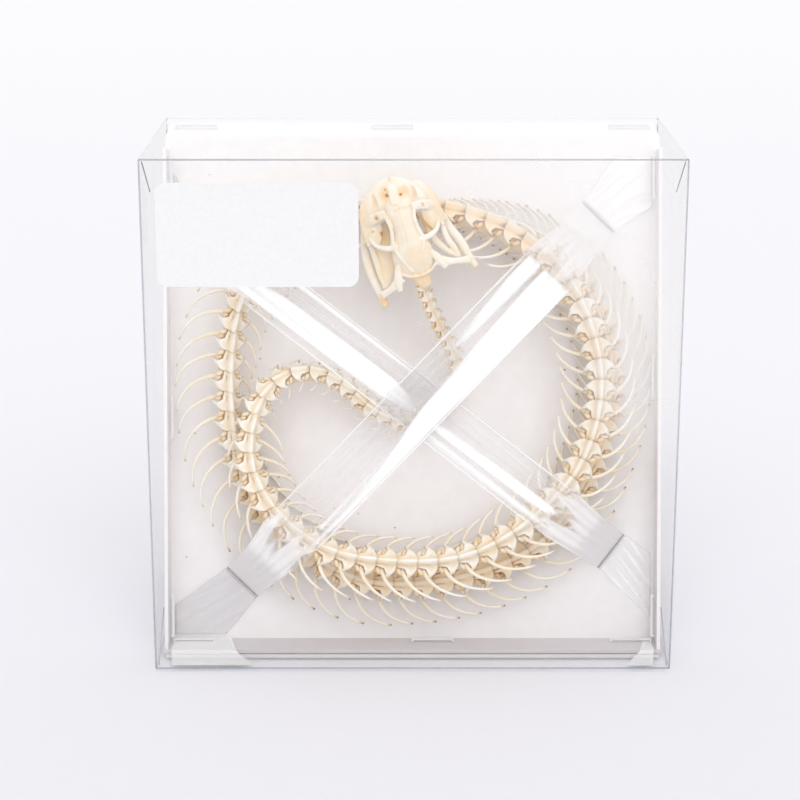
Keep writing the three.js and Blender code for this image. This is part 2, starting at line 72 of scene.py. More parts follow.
def addObject(name, data):
    thing = bpy.data.objects.new(name, data)
    scene.collection.objects.link(thing)
    return thing


# Turns a bmesh into a finished object at the origin
def finishPiece(bm, name, materials, slot, replaced=(), smooth=True, place=boardToRoom):
    bmesh.ops.transform(bm, matrix=place, verts=bm.verts)
    mesh = bpy.data.meshes.new(name)
    bm.to_mesh(mesh)
    bm.free()
    piece = addObject(name, mesh)
    for material in materials:
        mesh.materials.append(material)
    if smooth:
        mesh.shade_smooth()
    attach(piece, "root")
    if replaced:
        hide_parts(*replaced)
    return piece


# A ring of vertices swept along points; each section is (half across, half over)
def sweepSections(bm, points, sections, sides, over, layers=None):
    points = [Vector(p) for p in points]
    made = bmesh.ops.create_circle(bm, cap_ends=False, radius=1.0, segments=sides)["verts"]
    unit = [v.co.copy() for v in made]
    loop = made
    count = len(points)
    for i, p in enumerate(points):
        along = (points[min(i + 1, count - 1)] - points[max(i - 1, 0)]).normalized()
        across = along.cross(over).normalized()
        rise = across.cross(along)
        if i:
            edges = {e for v in loop for e in v.link_edges if e.other_vert(v) in loop}
            grown = bmesh.ops.extrude_edge_only(bm, edges=list(edges))["geom"]
            mainPalette = [g for g in grown if isinstance(g, bmesh.types.BMVert)]
            order = {e.other_vert(v): v for v in mainPalette for e in v.link_edges}
            loop = [order[v] for v in loop]
        wide, high = sections[i]
        for v, u in zip(loop, unit):
            v.co = p + across * (u.x * wide) + rise * (u.y * high)
            for layer, values in (layers or {}).items():
                v[layer] = values[i]
        if i == 0:
            bm.faces.new(list(reversed(loop)))
    bm.faces.new(loop)


# Gives a sheet its thickness and keeps it from casting a shadow
def thicken(piece, thickness, offset=-1):
    modifier = piece.modifiers.new("sheet", "SOLIDIFY")
    modifier.thickness = thickness * mm
    modifier.offset = offset
    piece.visible_shadow = False


def addBall(bm, place):
    made = bmesh.ops.create_icosphere(bm, subdivisions=1, radius=1.0)["verts"]
    bmesh.ops.transform(bm, matrix=place, verts=made)
    return made


nodeGap = 220


# Material nodes stand in one row; a socket is linked, and any other value is set
def feed(tree, socket, value):
    if isinstance(value, bpy.types.NodeSocket):
        tree.links.new(value, socket)
    else:
        socket.default_value = value


def addNode(tree, kind, **sockets):
    node = tree.nodes.new(kind)
    node.location = (nodeGap * len(tree.nodes), -nodeGap)
    for key, value in sockets.items():
        feed(tree, node.inputs[key], value)
    return node


def operationNode(tree, kind, operation, *values):
    node = addNode(tree, kind)
    node.operation = operation
    for socket, value in zip(node.inputs, values):
        feed(tree, socket, value)
    return node.outputs


def mathNode(tree, operation, *values):
    return operationNode(tree, "ShaderNodeMath", operation, *values)[0]


def vectorNode(tree, operation, *values):
    return operationNode(tree, "ShaderNodeVectorMath", operation, *values)


def objectPlace(tree):
    return addNode(tree, "ShaderNodeTexCoord").outputs["Object"]


def splitVector(tree, vector):
    return addNode(tree, "ShaderNodeSeparateXYZ", Vector=vector).outputs


def noiseNode(tree, scale, detail, **sockets):
    sockets.update(Vector=objectPlace(tree), Scale=scale, Detail=detail)
    return addNode(tree, "ShaderNodeTexNoise", **sockets).outputs["Fac"]


def attributeNode(tree, name):
    node = addNode(tree, "ShaderNodeAttribute")
    node.attribute_name = name
    return node.outputs["Fac"]


# Colour by share; a stop given as one number is a grey
def ramp(tree, share, stops):
    node = addNode(tree, "ShaderNodeValToRGB", Fac=share)
    elements = node.color_ramp.elements
    while len(elements) < len(stops):
        elements.new(0.5)
    for element, (place, colour) in zip(elements, stops):
        element.position = place
        element.color = (colour, colour, colour, 1) if isinstance(colour, (int, float)) else (*colour, 1)
    return node.outputs["Color"]


def multiplyColours(tree, factor, first, second):
    node = addNode(tree, "ShaderNodeMix")
    node.data_type = "RGBA"
    node.blend_type = "MULTIPLY"
    feed(tree, node.inputs["Factor"], factor)
    feed(tree, node.inputs[6], first)
    feed(tree, node.inputs[7], second)
    return node.outputs[2]


def addBump(tree, shader, height, strength, distance):
    bump = addNode(tree, "ShaderNodeBump", Strength=strength, Distance=distance, Height=height)
    feed(tree, shader.inputs["Normal"], bump.outputs["Normal"])


def plainMaterial(name, colour, roughness, metallic=0.0, alpha=1.0):
    material = bpy.data.materials.new(name)
    material.use_nodes = True
    shader = material.node_tree.nodes["Principled BSDF"]
    values = {"Base Color": (*colour, 1), "Roughness": roughness, "Metallic": metallic, "Alpha": alpha}
    for key, value in values.items():
        shader.inputs[key].default_value = value
    return material, material.node_tree, shader


# Bone finish: cream, turned amber and brown by the stainAndShade value, which holds real stains and also
# painted shade in the recesses
boneSet = {
    "rough": 0.5, "grain": 420.0, "grainBump": 0.25, "grainDepth": 0.0002,
    "blotch": 120.0, "blotchShare": 0.45,
    "speckle": 0.6, "speckleTones": [(0.3, (0.90, 0.88, 0.85)), (0.7, 1)],
    "glow": 0.2, "glowColour": (1.0, 0.88, 0.76), "glowReach": 0.0018,
    # pale, cream, amber and brown bone
    "stops": (0.22, 0.42, 0.85, 1.0),
    "mainPalette": [(0.93, 0.88, 0.79), (0.90, 0.78, 0.61), (0.92, 0.65, 0.36), (0.55, 0.32, 0.13)],
    # the lower loop and the tail are darker: painted shade under the upper loop
    "shadedLoopPalette": [(0.92, 0.86, 0.75), (0.84, 0.74, 0.57), (0.62, 0.45, 0.25), (0.16, 0.09, 0.04)],
}


def boneMaterial(name, palette):
    material, tree, shader = plainMaterial(name, palette[1], boneSet["rough"])
    grain = noiseNode(tree, boneSet["grain"], 4.0)
    blotch = noiseNode(tree, boneSet["blotch"], 3.0)
    patch = mathNode(tree, "MULTIPLY_ADD", blotch, boneSet["blotchShare"], attributeNode(tree, "stainAndShade"))
    tone = ramp(tree, patch, list(zip(boneSet["stops"], palette)))
    speckle = ramp(tree, grain, boneSet["speckleTones"])
    feed(tree, shader.inputs["Base Color"], multiplyColours(tree, boneSet["speckle"], tone, speckle))
    addBump(tree, shader, grain, boneSet["grainBump"], boneSet["grainDepth"])
    shader.inputs["Subsurface Weight"].default_value = boneSet["glow"]
    shader.inputs["Subsurface Radius"].default_value = boneSet["glowColour"]
    shader.inputs["Subsurface Scale"].default_value = boneSet["glowReach"]
    return material


boneLook = boneMaterial("boneCream", boneSet["mainPalette"])
shadedLoopLook = boneMaterial("boneShadedLoop", boneSet["shadedLoopPalette"])
print("bone finishes made")

# Spine: the same line as the solids, from the skull to the tail
spineSet = {
    "coilU": 0.6, "coilV": 2.0, "pitch": 6.0,
    "leanUp": 0.25, "leanOnArcs": 0.7, "leanIn": 0.2, "leanFrom": 4.5, "leanFull": 10.0,
    "boneLean": 0.6, "boneReach": 50.0, "boneAside": 0.25, "halfStep": 0.4, "perSpan": 60,
    # scale of the bones, and the rows of the coil where they are full grown, thin out and pass under the
    # upper loop into painted shade
    "neckScale": 0.58, "neckGrowth": 0.42, "tailScale": 0.3, "tailLoss": 0.7, "grownRow": 3, "thinRow": 21,
    "shadedLoopRows": (14, 17),
    "neck": [
        (2, 34.6, 21.6), (4, 28.6, 18.6), (7, 21.8, 14.4), (10.6, 15.2, 10.4), (12.7, 8.7, 7.2),
        (11.2, 0.8, 5.6), (5, -5.6, 5.2), (-2.8, -7.4, 5.4), (-11.1, -4.2, 6.2), (-19.2, 2.6, 7.8),
        (-27.6, 6.9, 9.4), (-34.8, 7, 10.4), (-40.8, 3.9, 10.9)],
    # turn, radius, height, outer rib reach, inner rib reach, rib drop
    "coil": [
        (184, 45.5, 11.2, 2.6, 7.5, 3), (195, 50.3, 12.6, 4, 8, 3.4), (206, 53.4, 13.6, 6, 8.5, 4.4),
        (220, 54.5, 14, 8.5, 8.5, 5.2), (236, 54, 14, 8.5, 8.5, 5.2), (254, 51.6, 14, 8.5, 8.5, 5.2),
        (290, 50.7, 14, 8.5, 8.5, 5.2), (331, 52.3, 14, 8.5, 8.5, 5.2), (362, 53.9, 14, 8.5, 8.5, 5.2),
        (392, 54, 14, 8.5, 8.5, 5.2), (420, 53, 14, 7, 8.5, 4.6), (455, 53.2, 14, 7, 8.5, 4.6),
        (480, 55.2, 14, 9, 8.5, 5.2), (503, 57.6, 13, 11, 8, 5.2), (517, 57, 11.8, 13, 7, 5.2),
        (532, 55.4, 9.8, 13.5, 5, 5), (545, 55, 7.6, 13.5, 5, 4.6), (557, 55.5, 6, 13.5, 6, 4),
        (570, 56.3, 5.1, 13.5, 8, 3.5), (588, 57.9, 4.7, 12, 8.5, 3.3), (620, 58.4, 4.6, 10, 9, 3.2),
        (670, 58.8, 4.6, 10, 10, 3.2), (720, 58.4, 4.6, 10, 10, 3.2), (748, 58.8, 4.6, 10, 9, 3.2),
        (772, 57, 4.5, 7, 6.5, 3), (792, 54.6, 4.1, 4, 4, 2.4), (816, 53.4, 3.4, 0, 0, 1),
        (842, 53.4, 2.4, 0, 0, 1)],
    "lengths": [
        ("neck_front", 14), ("neck_rear", 12), *(("trunk_%02d" % i, 10) for i in range(1, 12)), ("tail", 40)],
}
coilColumn = {"height": 2, "outerReach": 3, "innerReach": 4, "drop": 5}


def coilPoint(row):
    angle = math.radians(row[0])
    return (
        spineSet["coilU"] + row[1] * math.cos(angle), spineSet["coilV"] + row[1] * math.sin(angle), row[2])


# A smooth curve through points, with a number of steps in each span
def smoothLine(points, perSpan):
    pts = [np.array(p, float) for p in points]
    pts = [2 * pts[0] - pts[1]] + pts + [2 * pts[-1] - pts[-2]]
    line = []
    for a, b, c, d in zip(pts, pts[1:], pts[2:], pts[3:]):
        k0, k1, k2 = (math.sqrt(np.linalg.norm(q - p)) for p, q in ((a, b), (b, c), (c, d)))
        m1 = ((b - a) / k0 - (c - a) / (k0 + k1) + (c - b) / k1) * k1
        m2 = ((c - b) / k1 - (d - b) / (k1 + k2) + (d - c) / k2) * k1
        for j in range(perSpan):
            t = j / perSpan
            line.append(
                (2 * t**3 - 3 * t**2 + 1) * b + (t**3 - 2 * t**2 + t) * m1
                + (3 * t**2 - 2 * t**3) * c + (t**3 - t**2) * m2)
    line.append(pts[-2])
    return np.array(line)


spineLine = smoothLine(spineSet["neck"] + [coilPoint(row) for row in spineSet["coil"]], spineSet["perSpan"])
spineSteps = np.concatenate([[0], np.cumsum(np.linalg.norm(np.diff(spineLine, axis=0), axis=1))])
spineTotal = spineSteps[-1]
coilRows = range(len(spineSet["neck"]), len(spineSet["neck"]) + len(spineSet["coil"]))
coilStarts = np.array([spineSteps[row * spineSet["perSpan"]] for row in coilRows])


def pointAt(s):
    return Vector([float(np.interp(s, spineSteps, spineLine[:, i])) for i in range(3)])


# Place on the spine with the ways to the tail, the crest and the outer side; bones turn further than ribs
def frameAt(s, ofBone=False):
    s = min(max(s, 0.0), spineTotal)
    p = pointAt(s)
    step = spineSet["halfStep"]
    back = (pointAt(min(s + step, spineTotal)) - pointAt(max(s - step, 0))).normalized()
    raised = smoothStep(p.z, spineSet["leanFrom"], spineSet["leanFull"])
    onArcs = spineSet["leanOnArcs"]
    aside = 0.0
    if ofBone:
        onArcs += spineSet["boneLean"] * p.y / spineSet["boneReach"]
        aside = spineSet["boneAside"] * raised
    rise = spineSet["leanUp"] + raised * onArcs * back.x**2
    dorsal = Vector((aside - spineSet["leanIn"] * back.y, rise, 1))
    dorsal = (dorsal - back * back.dot(dorsal)).normalized()
    return p, back, dorsal, back.cross(dorsal)


def coilValue(s, name):
    return float(np.interp(s, coilStarts, [row[coilColumn[name]] for row in spineSet["coil"]]))


def smoothStep(s, low, high):
    t = min(max((s - low) / (high - low), 0.0), 1.0)
    return t * t * (3 - 2 * t)


def boneScale(s):
    grown = smoothStep(s, 0, coilStarts[spineSet["grownRow"]])
    full = 1 - smoothStep(s, coilStarts[spineSet["thinRow"]], spineTotal)
    forward = spineSet["neckScale"] + spineSet["neckGrowth"] * grown
    return forward * (spineSet["tailScale"] + spineSet["tailLoss"] * full)


def boneLength(s):
    return spineSet["pitch"] * boneScale(s)


boneStarts = []
s = 0.0
while s + boneLength(s) < spineTotal:
    boneStarts.append(s)
    s += boneLength(s)
print("spine:", len(boneStarts), "vertebrae over", round(spineTotal), "mm")

# One vertebra, x to the side, y towards the tail, z to the crest
vertebraSet = {
    # middle, half width and forward bend of each row of the roof
    "rows": [
        (-3.0, 1.5, 0), (-1.7, 1.8, 0), (-0.4, 2.1, 0.1), (0.8, 3.7, 0.5), (1.8, 5.1, 2.5), (2.6, 4.7, 2.1),
        (3.0, 3.5, 1.0), (3.15, 2.0, 0.2)],
    "crestTop": 4.3, "crestHalf": 0.5, "crestFoot": 0.95, "crestSlope": 0.05, "crestRound": 0.14,
    "saddle": 2.2, "sag": 0.05, "drop": 0.3, "thick": 0.7, "bendPower": 1.9,
    "skirt": (0.88, 0.96), "columns": 8,
    # front plates and rib heads: place, half sizes, stain and painted shade
    "heads": [((2.6, -2.1, 0.8), (1.6, 0.8, 0.5), 0.36), ((2.7, -0.8, 0.1), (1.1, 0.9, 0.9), 0.46)],
    "headTurn": 0.55, "headTilt": 0.3, "jitter": 0.03, "shade": (-0.06, 0.08), "shadedLoopShade": 0.2,
    "crestScale": {"trunk": 1.0, "neck": 0.72, "tile": 0.48},
    # roof colour from crest to wing edge, at the front and underneath: the bone's stain with painted
    # highlight on the crest top and wing edges, and painted shade at the crest's foot, under the bone before
    # and underneath
    "columnStainAndShade": (-0.08, 0.0, 0.34, 0.06, -0.18), "frontStainAndShade": 0.3, "underStainAndShade": 0.5,
    "topStain": 0.24, "topArc": (26.0, 44.0), "tileStain": (0.3, 0.2, 0.02, -0.02, 0.1),
}


def makeVertebra(kind, columnStainAndShade):
    settings = vertebraSet
    crestScale = settings["crestScale"][kind]
    rows = settings["rows"]
    knots = (0, 0.25, 0.5, 0.75, 1)
    bm = bmesh.new()
    stainAndShade = bm.verts.layers.float.new("stainAndShade")
    bmesh.ops.create_grid(bm, x_segments=settings["columns"], y_segments=len(rows) - 1, size=0.5)
    for v in bm.verts:
        row = (v.co.y + 0.5) * (len(rows) - 1)
        middle, half, bend = (float(np.interp(row, range(len(rows)), column)) for column in zip(*rows))
        share, side = abs(v.co.x) * 2, math.copysign(1, v.co.x)
        foot, saddle = settings["crestFoot"], settings["saddle"]
        x = float(np.interp(share, knots, (0, settings["crestHalf"], foot, (foot + half) / 2, half)))
        crest = settings["crestTop"] * crestScale + settings["crestSlope"] * middle
        low = saddle - settings["drop"] * (half - foot)
        heights = (crest, crest - settings["crestRound"], saddle, (saddle + low) / 2 - settings["sag"], low)
        # stain with painted highlight and shade across the roof, and painted shade at the front under the
        # bone before
        v[stainAndShade] = float(np.interp(share, knots, columnStainAndShade))
        v[stainAndShade] += settings["frontStainAndShade"] * max(0, -middle / 3)
        y = middle - bend * (x / half) ** settings["bendPower"]
        v.co = (side * x, y, float(np.interp(share, knots, heights)))
    rim = [e for e in bm.edges if len(e.link_faces) == 1]
    skirt = bmesh.ops.extrude_edge_only(bm, edges=rim)["geom"]
    # the under side is painted in shade, with the bone's amber
    across, along = settings["skirt"]
    for v in skirt:
        if isinstance(v, bmesh.types.BMVert):
            v.co = (v.co.x * across, v.co.y * along, v.co.z - settings["thick"])
            v[stainAndShade] = settings["underStainAndShade"]
    bmesh.ops.holes_fill(bm, edges=[e for e in bm.edges if len(e.link_faces) == 1], sides=0)
    bmesh.ops.recalc_face_normals(bm, faces=bm.faces)

    # plates at the front under the wings of the bone before, and the rib heads
    for side in (-1, 1):
        turn = Matrix.Rotation(side * settings["headTurn"], 4, "Z")
        turn = turn @ Matrix.Rotation(side * settings["headTilt"], 4, "Y")
        for (x, y, z), size, shade in settings["heads"]:
            place = Matrix.Translation((side * x, y, z)) @ turn @ Matrix.Diagonal((*size, 1))
            for v in addBall(bm, place):
                v[stainAndShade] = shade
    mesh = bpy.data.meshes.new(kind + "Bone")
    bm.to_mesh(mesh)
    bm.free()
    return mesh


trunkBone = makeVertebra("trunk", vertebraSet["columnStainAndShade"])
neckBone = makeVertebra("neck", vertebraSet["columnStainAndShade"])
tileBone = makeVertebra("tile", vertebraSet["tileStain"])

ribSet = {
    "root": 1.2, "thick": 0.8, "tip": 0.32, "sweep": 10.0, "bend": math.radians(86), "floor": 0.95,
    "neckReach": 5.2, "neckDrop": 1.5, "neckSweep": 3.0, "neckThick": 0.2, "steps": 12, "sides": 6,
    "innerReach": 0.2, "innerLift": 0.6, "sweepReach": 8.0, "wobble": 0.6, "leastScale": 0.62, "hang": 0.4,
    "taper": 0.8, "flat": 0.86, "firstBone": 3, "leastReach": 1.5, "start": 0.3,
    "rootStain": 0.34, "stainAndShade": 0.02, "tipStainAndShade": 0.4, "shadedLoopTipStainAndShade": 0.8,
}
tissueSet = {
    "half": 2.7, "high": 1.9, "below": 0.55, "perBone": 4, "sides": 12, "stainAndShade": 0.44, "stainSpread": 0.22,
    "scale": 0.92, "scaleSpread": 0.08, "gap": 0.3,
}
chance = random.Random(10372)


def eitherWay(size):
    return chance.uniform(-size, size)


def ribPoints(s, side):
    k = boneScale(s)
    inNeck = s < coilStarts[0]
    reach = ribSet["neckReach"] * k if inNeck else coilValue(s, "outerReach" if side > 0 else "innerReach")
    drop = ribSet["neckDrop"] if inNeck else coilValue(s, "drop")
    if side < 0 and not inNeck:
        lifted = smoothStep(coilValue(s, "height"), spineSet["leanFrom"], spineSet["leanFull"])
        reach *= 1 + ribSet["innerReach"] * lifted
        drop *= 1 - ribSet["innerLift"] * lifted
    sweep = ribSet["neckSweep"] if inNeck else ribSet["sweep"] * min(1, reach / ribSet["sweepReach"])
    thick = ribSet["neckThick"] if inNeck else ribSet["thick"] * max(ribSet["leastScale"], k)
    wobble = 0 if inNeck else eitherWay(ribSet["wobble"])
    bend = ribSet["bend"]
    points, radii = [], []
    for i in range(ribSet["steps"] + 1):
        t = i / ribSet["steps"]
        eased = (1 - math.cos(t * bend)) / (1 - math.cos(bend))
        p, _, dorsal, outer = frameAt(s + (sweep + wobble) * eased)
        x = ribSet["root"] * k + reach * math.sin(t * bend) / math.sin(bend)
        q = p + outer * (side * x) + dorsal * (-ribSet["hang"] * k - drop * eased)
        q.z = max(q.z, ribSet["floor"])
        points.append(q)
        radii.append(thick + (min(thick, ribSet["tip"]) - thick) * t ** ribSet["taper"])
    return points, radii


def addRow(name, first, last):
    template = {"neck_front": tileBone, "neck_rear": neckBone}.get(name, trunkBone)
    # bones of the lower loop get painted shade, as they lie under the upper loop
    shadedFrom, shadedTo = (coilStarts[row] for row in spineSet["shadedLoopRows"])
    inShadedLoop = smoothStep(boneStarts[first], shadedFrom, shadedTo) > 0.5
    bm = bmesh.new()
    for begin in boneStarts[first:last + 1]:
        k = boneScale(begin)
        p, back, dorsal, outer = frameAt(begin + 0.5 * boneLength(begin), True)
        jitter = 1 + eitherWay(vertebraSet["jitter"])
        count = len(bm.verts)
        bm.from_mesh(template)
        bm.verts.ensure_lookup_table()
        columns = [outer * k * jitter, back * k, dorsal * k]
        turn = Matrix([[c[r] for c in columns] + [p[r]] for r in range(3)] + [[0, 0, 0, 1]])
        bmesh.ops.transform(bm, matrix=turn, verts=bm.verts[count:])
        layer = bm.verts.layers.float["stainAndShade"]
        golden = vertebraSet["topStain"] * smoothStep(p.y, *vertebraSet["topArc"])
        shade = chance.uniform(*vertebraSet["shade"]) + (vertebraSet["shadedLoopShade"] if inShadedLoop else golden)
        for v in bm.verts[count:]:
            v[layer] = v[layer] + shade
    # the bodies of the bones with dried tissue round them, coloured amber partly as painted shade between the
    # bones
    count = (last - first + 1) * tissueSet["perBone"]
    begin = boneStarts[first]
    end = boneStarts[last] + boneLength(boneStarts[last]) - tissueSet["gap"]
    points, sections, values = [], [], []
    for i in range(count + 1):
        s = begin + (end - begin) * i / count
        k = boneScale(s) * (tissueSet["scale"] + eitherWay(tissueSet["scaleSpread"]))
        p, _, dorsal, _ = frameAt(s)
        points.append(p - dorsal * (tissueSet["below"] * k))
        sections.append((tissueSet["half"] * k, tissueSet["high"] * k))
        values.append(tissueSet["stainAndShade"] + eitherWay(tissueSet["stainSpread"]))
    sweepSections(bm, points, sections, tissueSet["sides"], up, {layer: values})
    # the tail takes the darker painted-shade finish of the lower loop
    look, slot = (shadedLoopLook, "dark_bone") if name == "tail" else (boneLook, "bone")
    finishPiece(bm, name + "_bones", [look], slot, [name])

    bm = bmesh.new()
    stainAndShade = bm.verts.layers.float.new("stainAndShade")
    steps = ribSet["steps"]
    # rib colour: stain near the root, and darker tips that are partly brown marks and partly painted shade
    values = [ribSet["rootStain"] * (1 - i / steps) ** 2 + ribSet["stainAndShade"] for i in range(steps + 1)]
    values[-1] += ribSet["shadedLoopTipStainAndShade" if inShadedLoop else "tipStainAndShade"]
    for begin in boneStarts[max(first, ribSet["firstBone"]):last + 1]:
        if coilValue(begin, "outerReach") < ribSet["leastReach"]:
            continue
        for side in (1, -1):
            points, radii = ribPoints(begin + ribSet["start"] * boneLength(begin), side)
            sections = [(r, r * ribSet["flat"]) for r in radii]
            sweepSections(bm, points, sections, ribSet["sides"], up, {stainAndShade: values})
    if len(bm.verts):
        finishPiece(bm, name + "_ribs", [shadedLoopLook if inShadedLoop else boneLook], "bone")
    else:
        bm.free()


first = 0
for name, count in spineSet["lengths"]:
    last = min(first + count, len(boneStarts)) - 1
    if last >= first:
        addRow(name, first, last)
    first = last + 1
print("vertebrae and ribs made")

# Skull: bones swept from a few points each, then fused to one surface
skullSet = {
    "at": (1.2, 36.3, 22.4), "turn": math.radians(16.5), "pitch": math.radians(2), "voxel": 0.2, "teeth": 15,
    "splay": 0.13, "shift": 1.2, "splayLength": 10.0, "leastBar": 0.12, "softening": 3,
    "stainAndShade": 0.13, "hollowShade": 2.2, "hollowRange": (-0.03, 0.5), "hollowSpread": 10, "hollowRounds": 4,
    "jaw": [
        (1.8, 25.6, -2.7), (7, 23, -2.7), (10.4, 16.6, -2.8), (12.6, 9.4, -2.9), (13.6, 4, -2.9),
        (13.7, -1.5, -2.8), (14, -5, -2.7)],
    "jawStain": 0.04, "hingeStain": 0.6, "hinge": (1.6, 5.0),
    # pits and dark spots on the roof: x, y, half width, half length, depth, and stain with painted shade in
    # the pits
    "pits": [
        (-2.7, 23.8, 1.6, 2.8, 0.45, 0.5), (2.8, 23.3, 2.0, 1.7, 0.45, 0.5),
        (-2.0, 23.5, 0.45, 0.6, 0.5, 0.6),
        (1.7, 22.7, 0.55, 0.5, 0.5, 0.6), (-2.2, 25.3, 0.3, 0.4, 0.2, 0.5), (7.0, 18.1, 0.4, 0.9, 0.6, 0.5),
        (-6.8, 18.1, 0.8, 1.1, 0.8, 0.7), (-8.9, 14.8, 0.6, 0.5, 0.5, 0.5), (-6.4, 13.6, 0.8, 1.0, 0.5, 0.5),
        (-5.9, 22.6, 0.7, 2.6, 0.7, 0.4), (5.6, 22.2, 0.7, 2.4, 0.7, 0.4), (-0.2, 27.6, 0.6, 1.2, 0.6, 0.3)],
}
skullToRoom = (
    boardToRoom @ Matrix.Translation(skullSet["at"]) @ Matrix.Rotation(skullSet["turn"], 4, "Z")
    @ Matrix.Rotation(skullSet["pitch"], 4, "X"))


# A bar through points; wide and high give its half sizes at each share of its length
def boneBar(bm, points, wide, high, steps=14, sides=10):
    line = smoothLine(points, max(2, steps // (len(points) - 1)))
    count = len(line) - 1
    shares = [i / count for i in range(count + 1)]
    sections = [[max(skullSet["leastBar"], size(t)) for size in (wide, high)] for t in shares]
    sweepSections(bm, line, sections, sides, up)


def even(size):
    return lambda t: size


def swell(end, middle, tip=None):
    far = end if tip is None else tip
    return lambda t: end * (1 - t) + far * t + (middle - (end + far) / 2) * math.sin(math.pi * t)


# A closed case from rows of y, half width, low and high
def braincase(bm, rows, middleX):
    lows = smoothLine([(y, half, low) for y, half, low, high in rows], 4)
    highs = smoothLine([(y, half, high) for y, half, low, high in rows], 4)
    middle = [(middleX, a[0], (a[2] + b[2]) / 2) for a, b in zip(lows, highs)]
    sections = [(a[1], (b[2] - a[2]) / 2) for a, b in zip(lows, highs)]
    sweepSections(bm, middle, sections, 20, up)


# Place on the skull, with the hinges wider and further forward on the right than on the left
def onSkull(side, x, y, z):
    back = max(0, (skullSet["splayLength"] - y) / skullSet["splayLength"])
    return (side * x * (1 + side * skullSet["splay"] * back), y + side * skullSet["shift"] * back, z)


def skullBones(bm):
    braincase(bm, [
        (-1.5, 1.6, -1, 1.4), (0.5, 4.4, -1.6, 2.9), (4, 5.9, -1.8, 4.4), (7.5, 5.6, -1.6, 4.9),
        (10, 4.6, -1.4, 5), (13.5, 3.8, -1, 5), (17, 4.2, -0.8, 4.8), (20, 4.4, -0.8, 4.1),
        (24, 4.2, -0.6, 3.1), (26.4, 3.6, -0.4, 2.2), (28, 1.6, 0, 1.3)], 0.3)
    braincase(bm, [
        (16.6, 7.0, 0.0, 2.0), (19.6, 9.4, -0.3, 2.6), (22.4, 8.8, -0.3, 2.9), (25, 7.0, -0.2, 2.5),
        (27, 4.7, -0.1, 1.9), (28.3, 1.9, 0.2, 1.2)], -0.6)
    # nasal bone, rim of the occiput and its condyle
    nasal = [(-0.3, 27.4, 1.7), (-0.2, 24.4, 3.0), (-0.4, 20.4, 3.9)]
    boneBar(bm, nasal, swell(0.7, 1.5, 1.2), even(0.3))
    rim = [(-4.4, 1.0, 2.2), (-2.4, -0.4, 2.5), (1.1, -1.0, 2.6), (4.2, -0.2, 2.4), (5.6, 1, 2.2)]
    boneBar(bm, rim, even(0.35), even(0.4), 20)
    condyle = [(0.6, 0, 0.6), (1.2, -2.4, 0.2), (1.8, -4.2, -0.6)]
    boneBar(bm, condyle, swell(3.0, 2.4, 1.7), swell(1.6, 1.5, 1.3))
    for side in (-1, 1):
        # the left pterygoid shows its flat face
        pterygoid = (swell(0.6, 1.15, 0.45), even(0.45)) if side > 0 else (swell(0.7, 3.0, 0.9), even(0.3))
        bars = [
            # maxilla, prefrontal, cheek, frontal edge, postorbital and crest of the roof
            ([(6.4, 25, 0.6), (9.2, 21.6, 0.7), (10.6, 16, 0.6), (11, 11, 0.4)],
             swell(1.2, 1.6, 0.5), swell(0.9, 1.0, 0.5), 24),
            ([(3.8, 18.6, 3.8), (6.6, 18.4, 3), (9.2, 17.6, 1.6), (10.2, 16.6, 0.9)],
             swell(1.2, 1.5, 0.9), even(0.6)),
            ([(7.8, 19, 1.4), (8.3, 14.8, 1.0), (8.8, 10.8, 0.8)], swell(1.6, 2.5, 1.0), even(0.45)),
            ([(4.2, 18.2, 3.6), (3.6, 14, 4.1), (4.4, 9.8, 3.9)], even(0.6), even(0.45)),
            ([(3.4, 8.9, 3.9), (6.4, 9.2, 3.1), (9.1, 10.8, 1.8), (10.3, 13.4, 0.9)],
             swell(1.0, 0.75, 0.6), even(0.55)),
            ([(4.6, 9, 3.8), (3.4, 5.6, 4.05), (1.2, 1.6, 3.2)], even(0.5), even(0.3)),
            # pterygoid, ectopterygoid, supratemporal and quadrate
            ([(4.4, 19, -0.4), (6.2, 14.4, -0.6), (7.4, 7.4, -0.8), (9, 3.4, -0.8), (11.6, -0.6, -0.8)],
             *pterygoid, 22),
            ([(10.8, 14, 0.1), (10.7, 7, -0.5), (11.3, 3, -0.8), (11.6, -0.3, -0.8)],
             swell(0.55, 1.0, 0.45), even(0.45), 18),
            ([(5, 4.4, 2.8), (6.4, 1, 2.5), (7.2, -2.2, 1.7)], swell(0.8, 1.2, 0.8), even(0.6)),
            ([(5.4, 1.2, 2.2), (8.6, -0.6, 1.6), (11.2, -1.4, 0.7), (13.6, -1.9, -0.4)],
             swell(1.8, 1.0, 1.3), even(0.6)),
        ]
        for i in range(skullSet["teeth"]):
            t = i / (skullSet["teeth"] - 1)
            x, y = 8.6 + 2.6 * t, 23.6 - 11.0 * t
            tooth = [(x, y, 0.2), (x + 1.0, y - 0.15, -0.2), (x + 1.7, y - 0.7, -0.6)]
            bars.append((tooth, swell(0.42, 0.36, 0.14), swell(0.42, 0.34, 0.14), 4, 6))
        for points, *sizes in bars:
            boneBar(bm, [onSkull(side, *place) for place in points], *sizes)


def fuseBones(piece, voxel, rounds):
    modifier = piece.modifiers.new("fuse", "REMESH")
    modifier.mode = "VOXEL"
    modifier.voxel_size = voxel
    modifier.use_smooth_shade = True
    soften = piece.modifiers.new("soften", "SMOOTH")
    soften.iterations = rounds
    soften.factor = 0.5
    depsgraph = bpy.context.evaluated_depsgraph_get()
    fused = bpy.data.meshes.new_from_object(piece.evaluated_get(depsgraph))
    piece.modifiers.clear()
    piece.data = fused


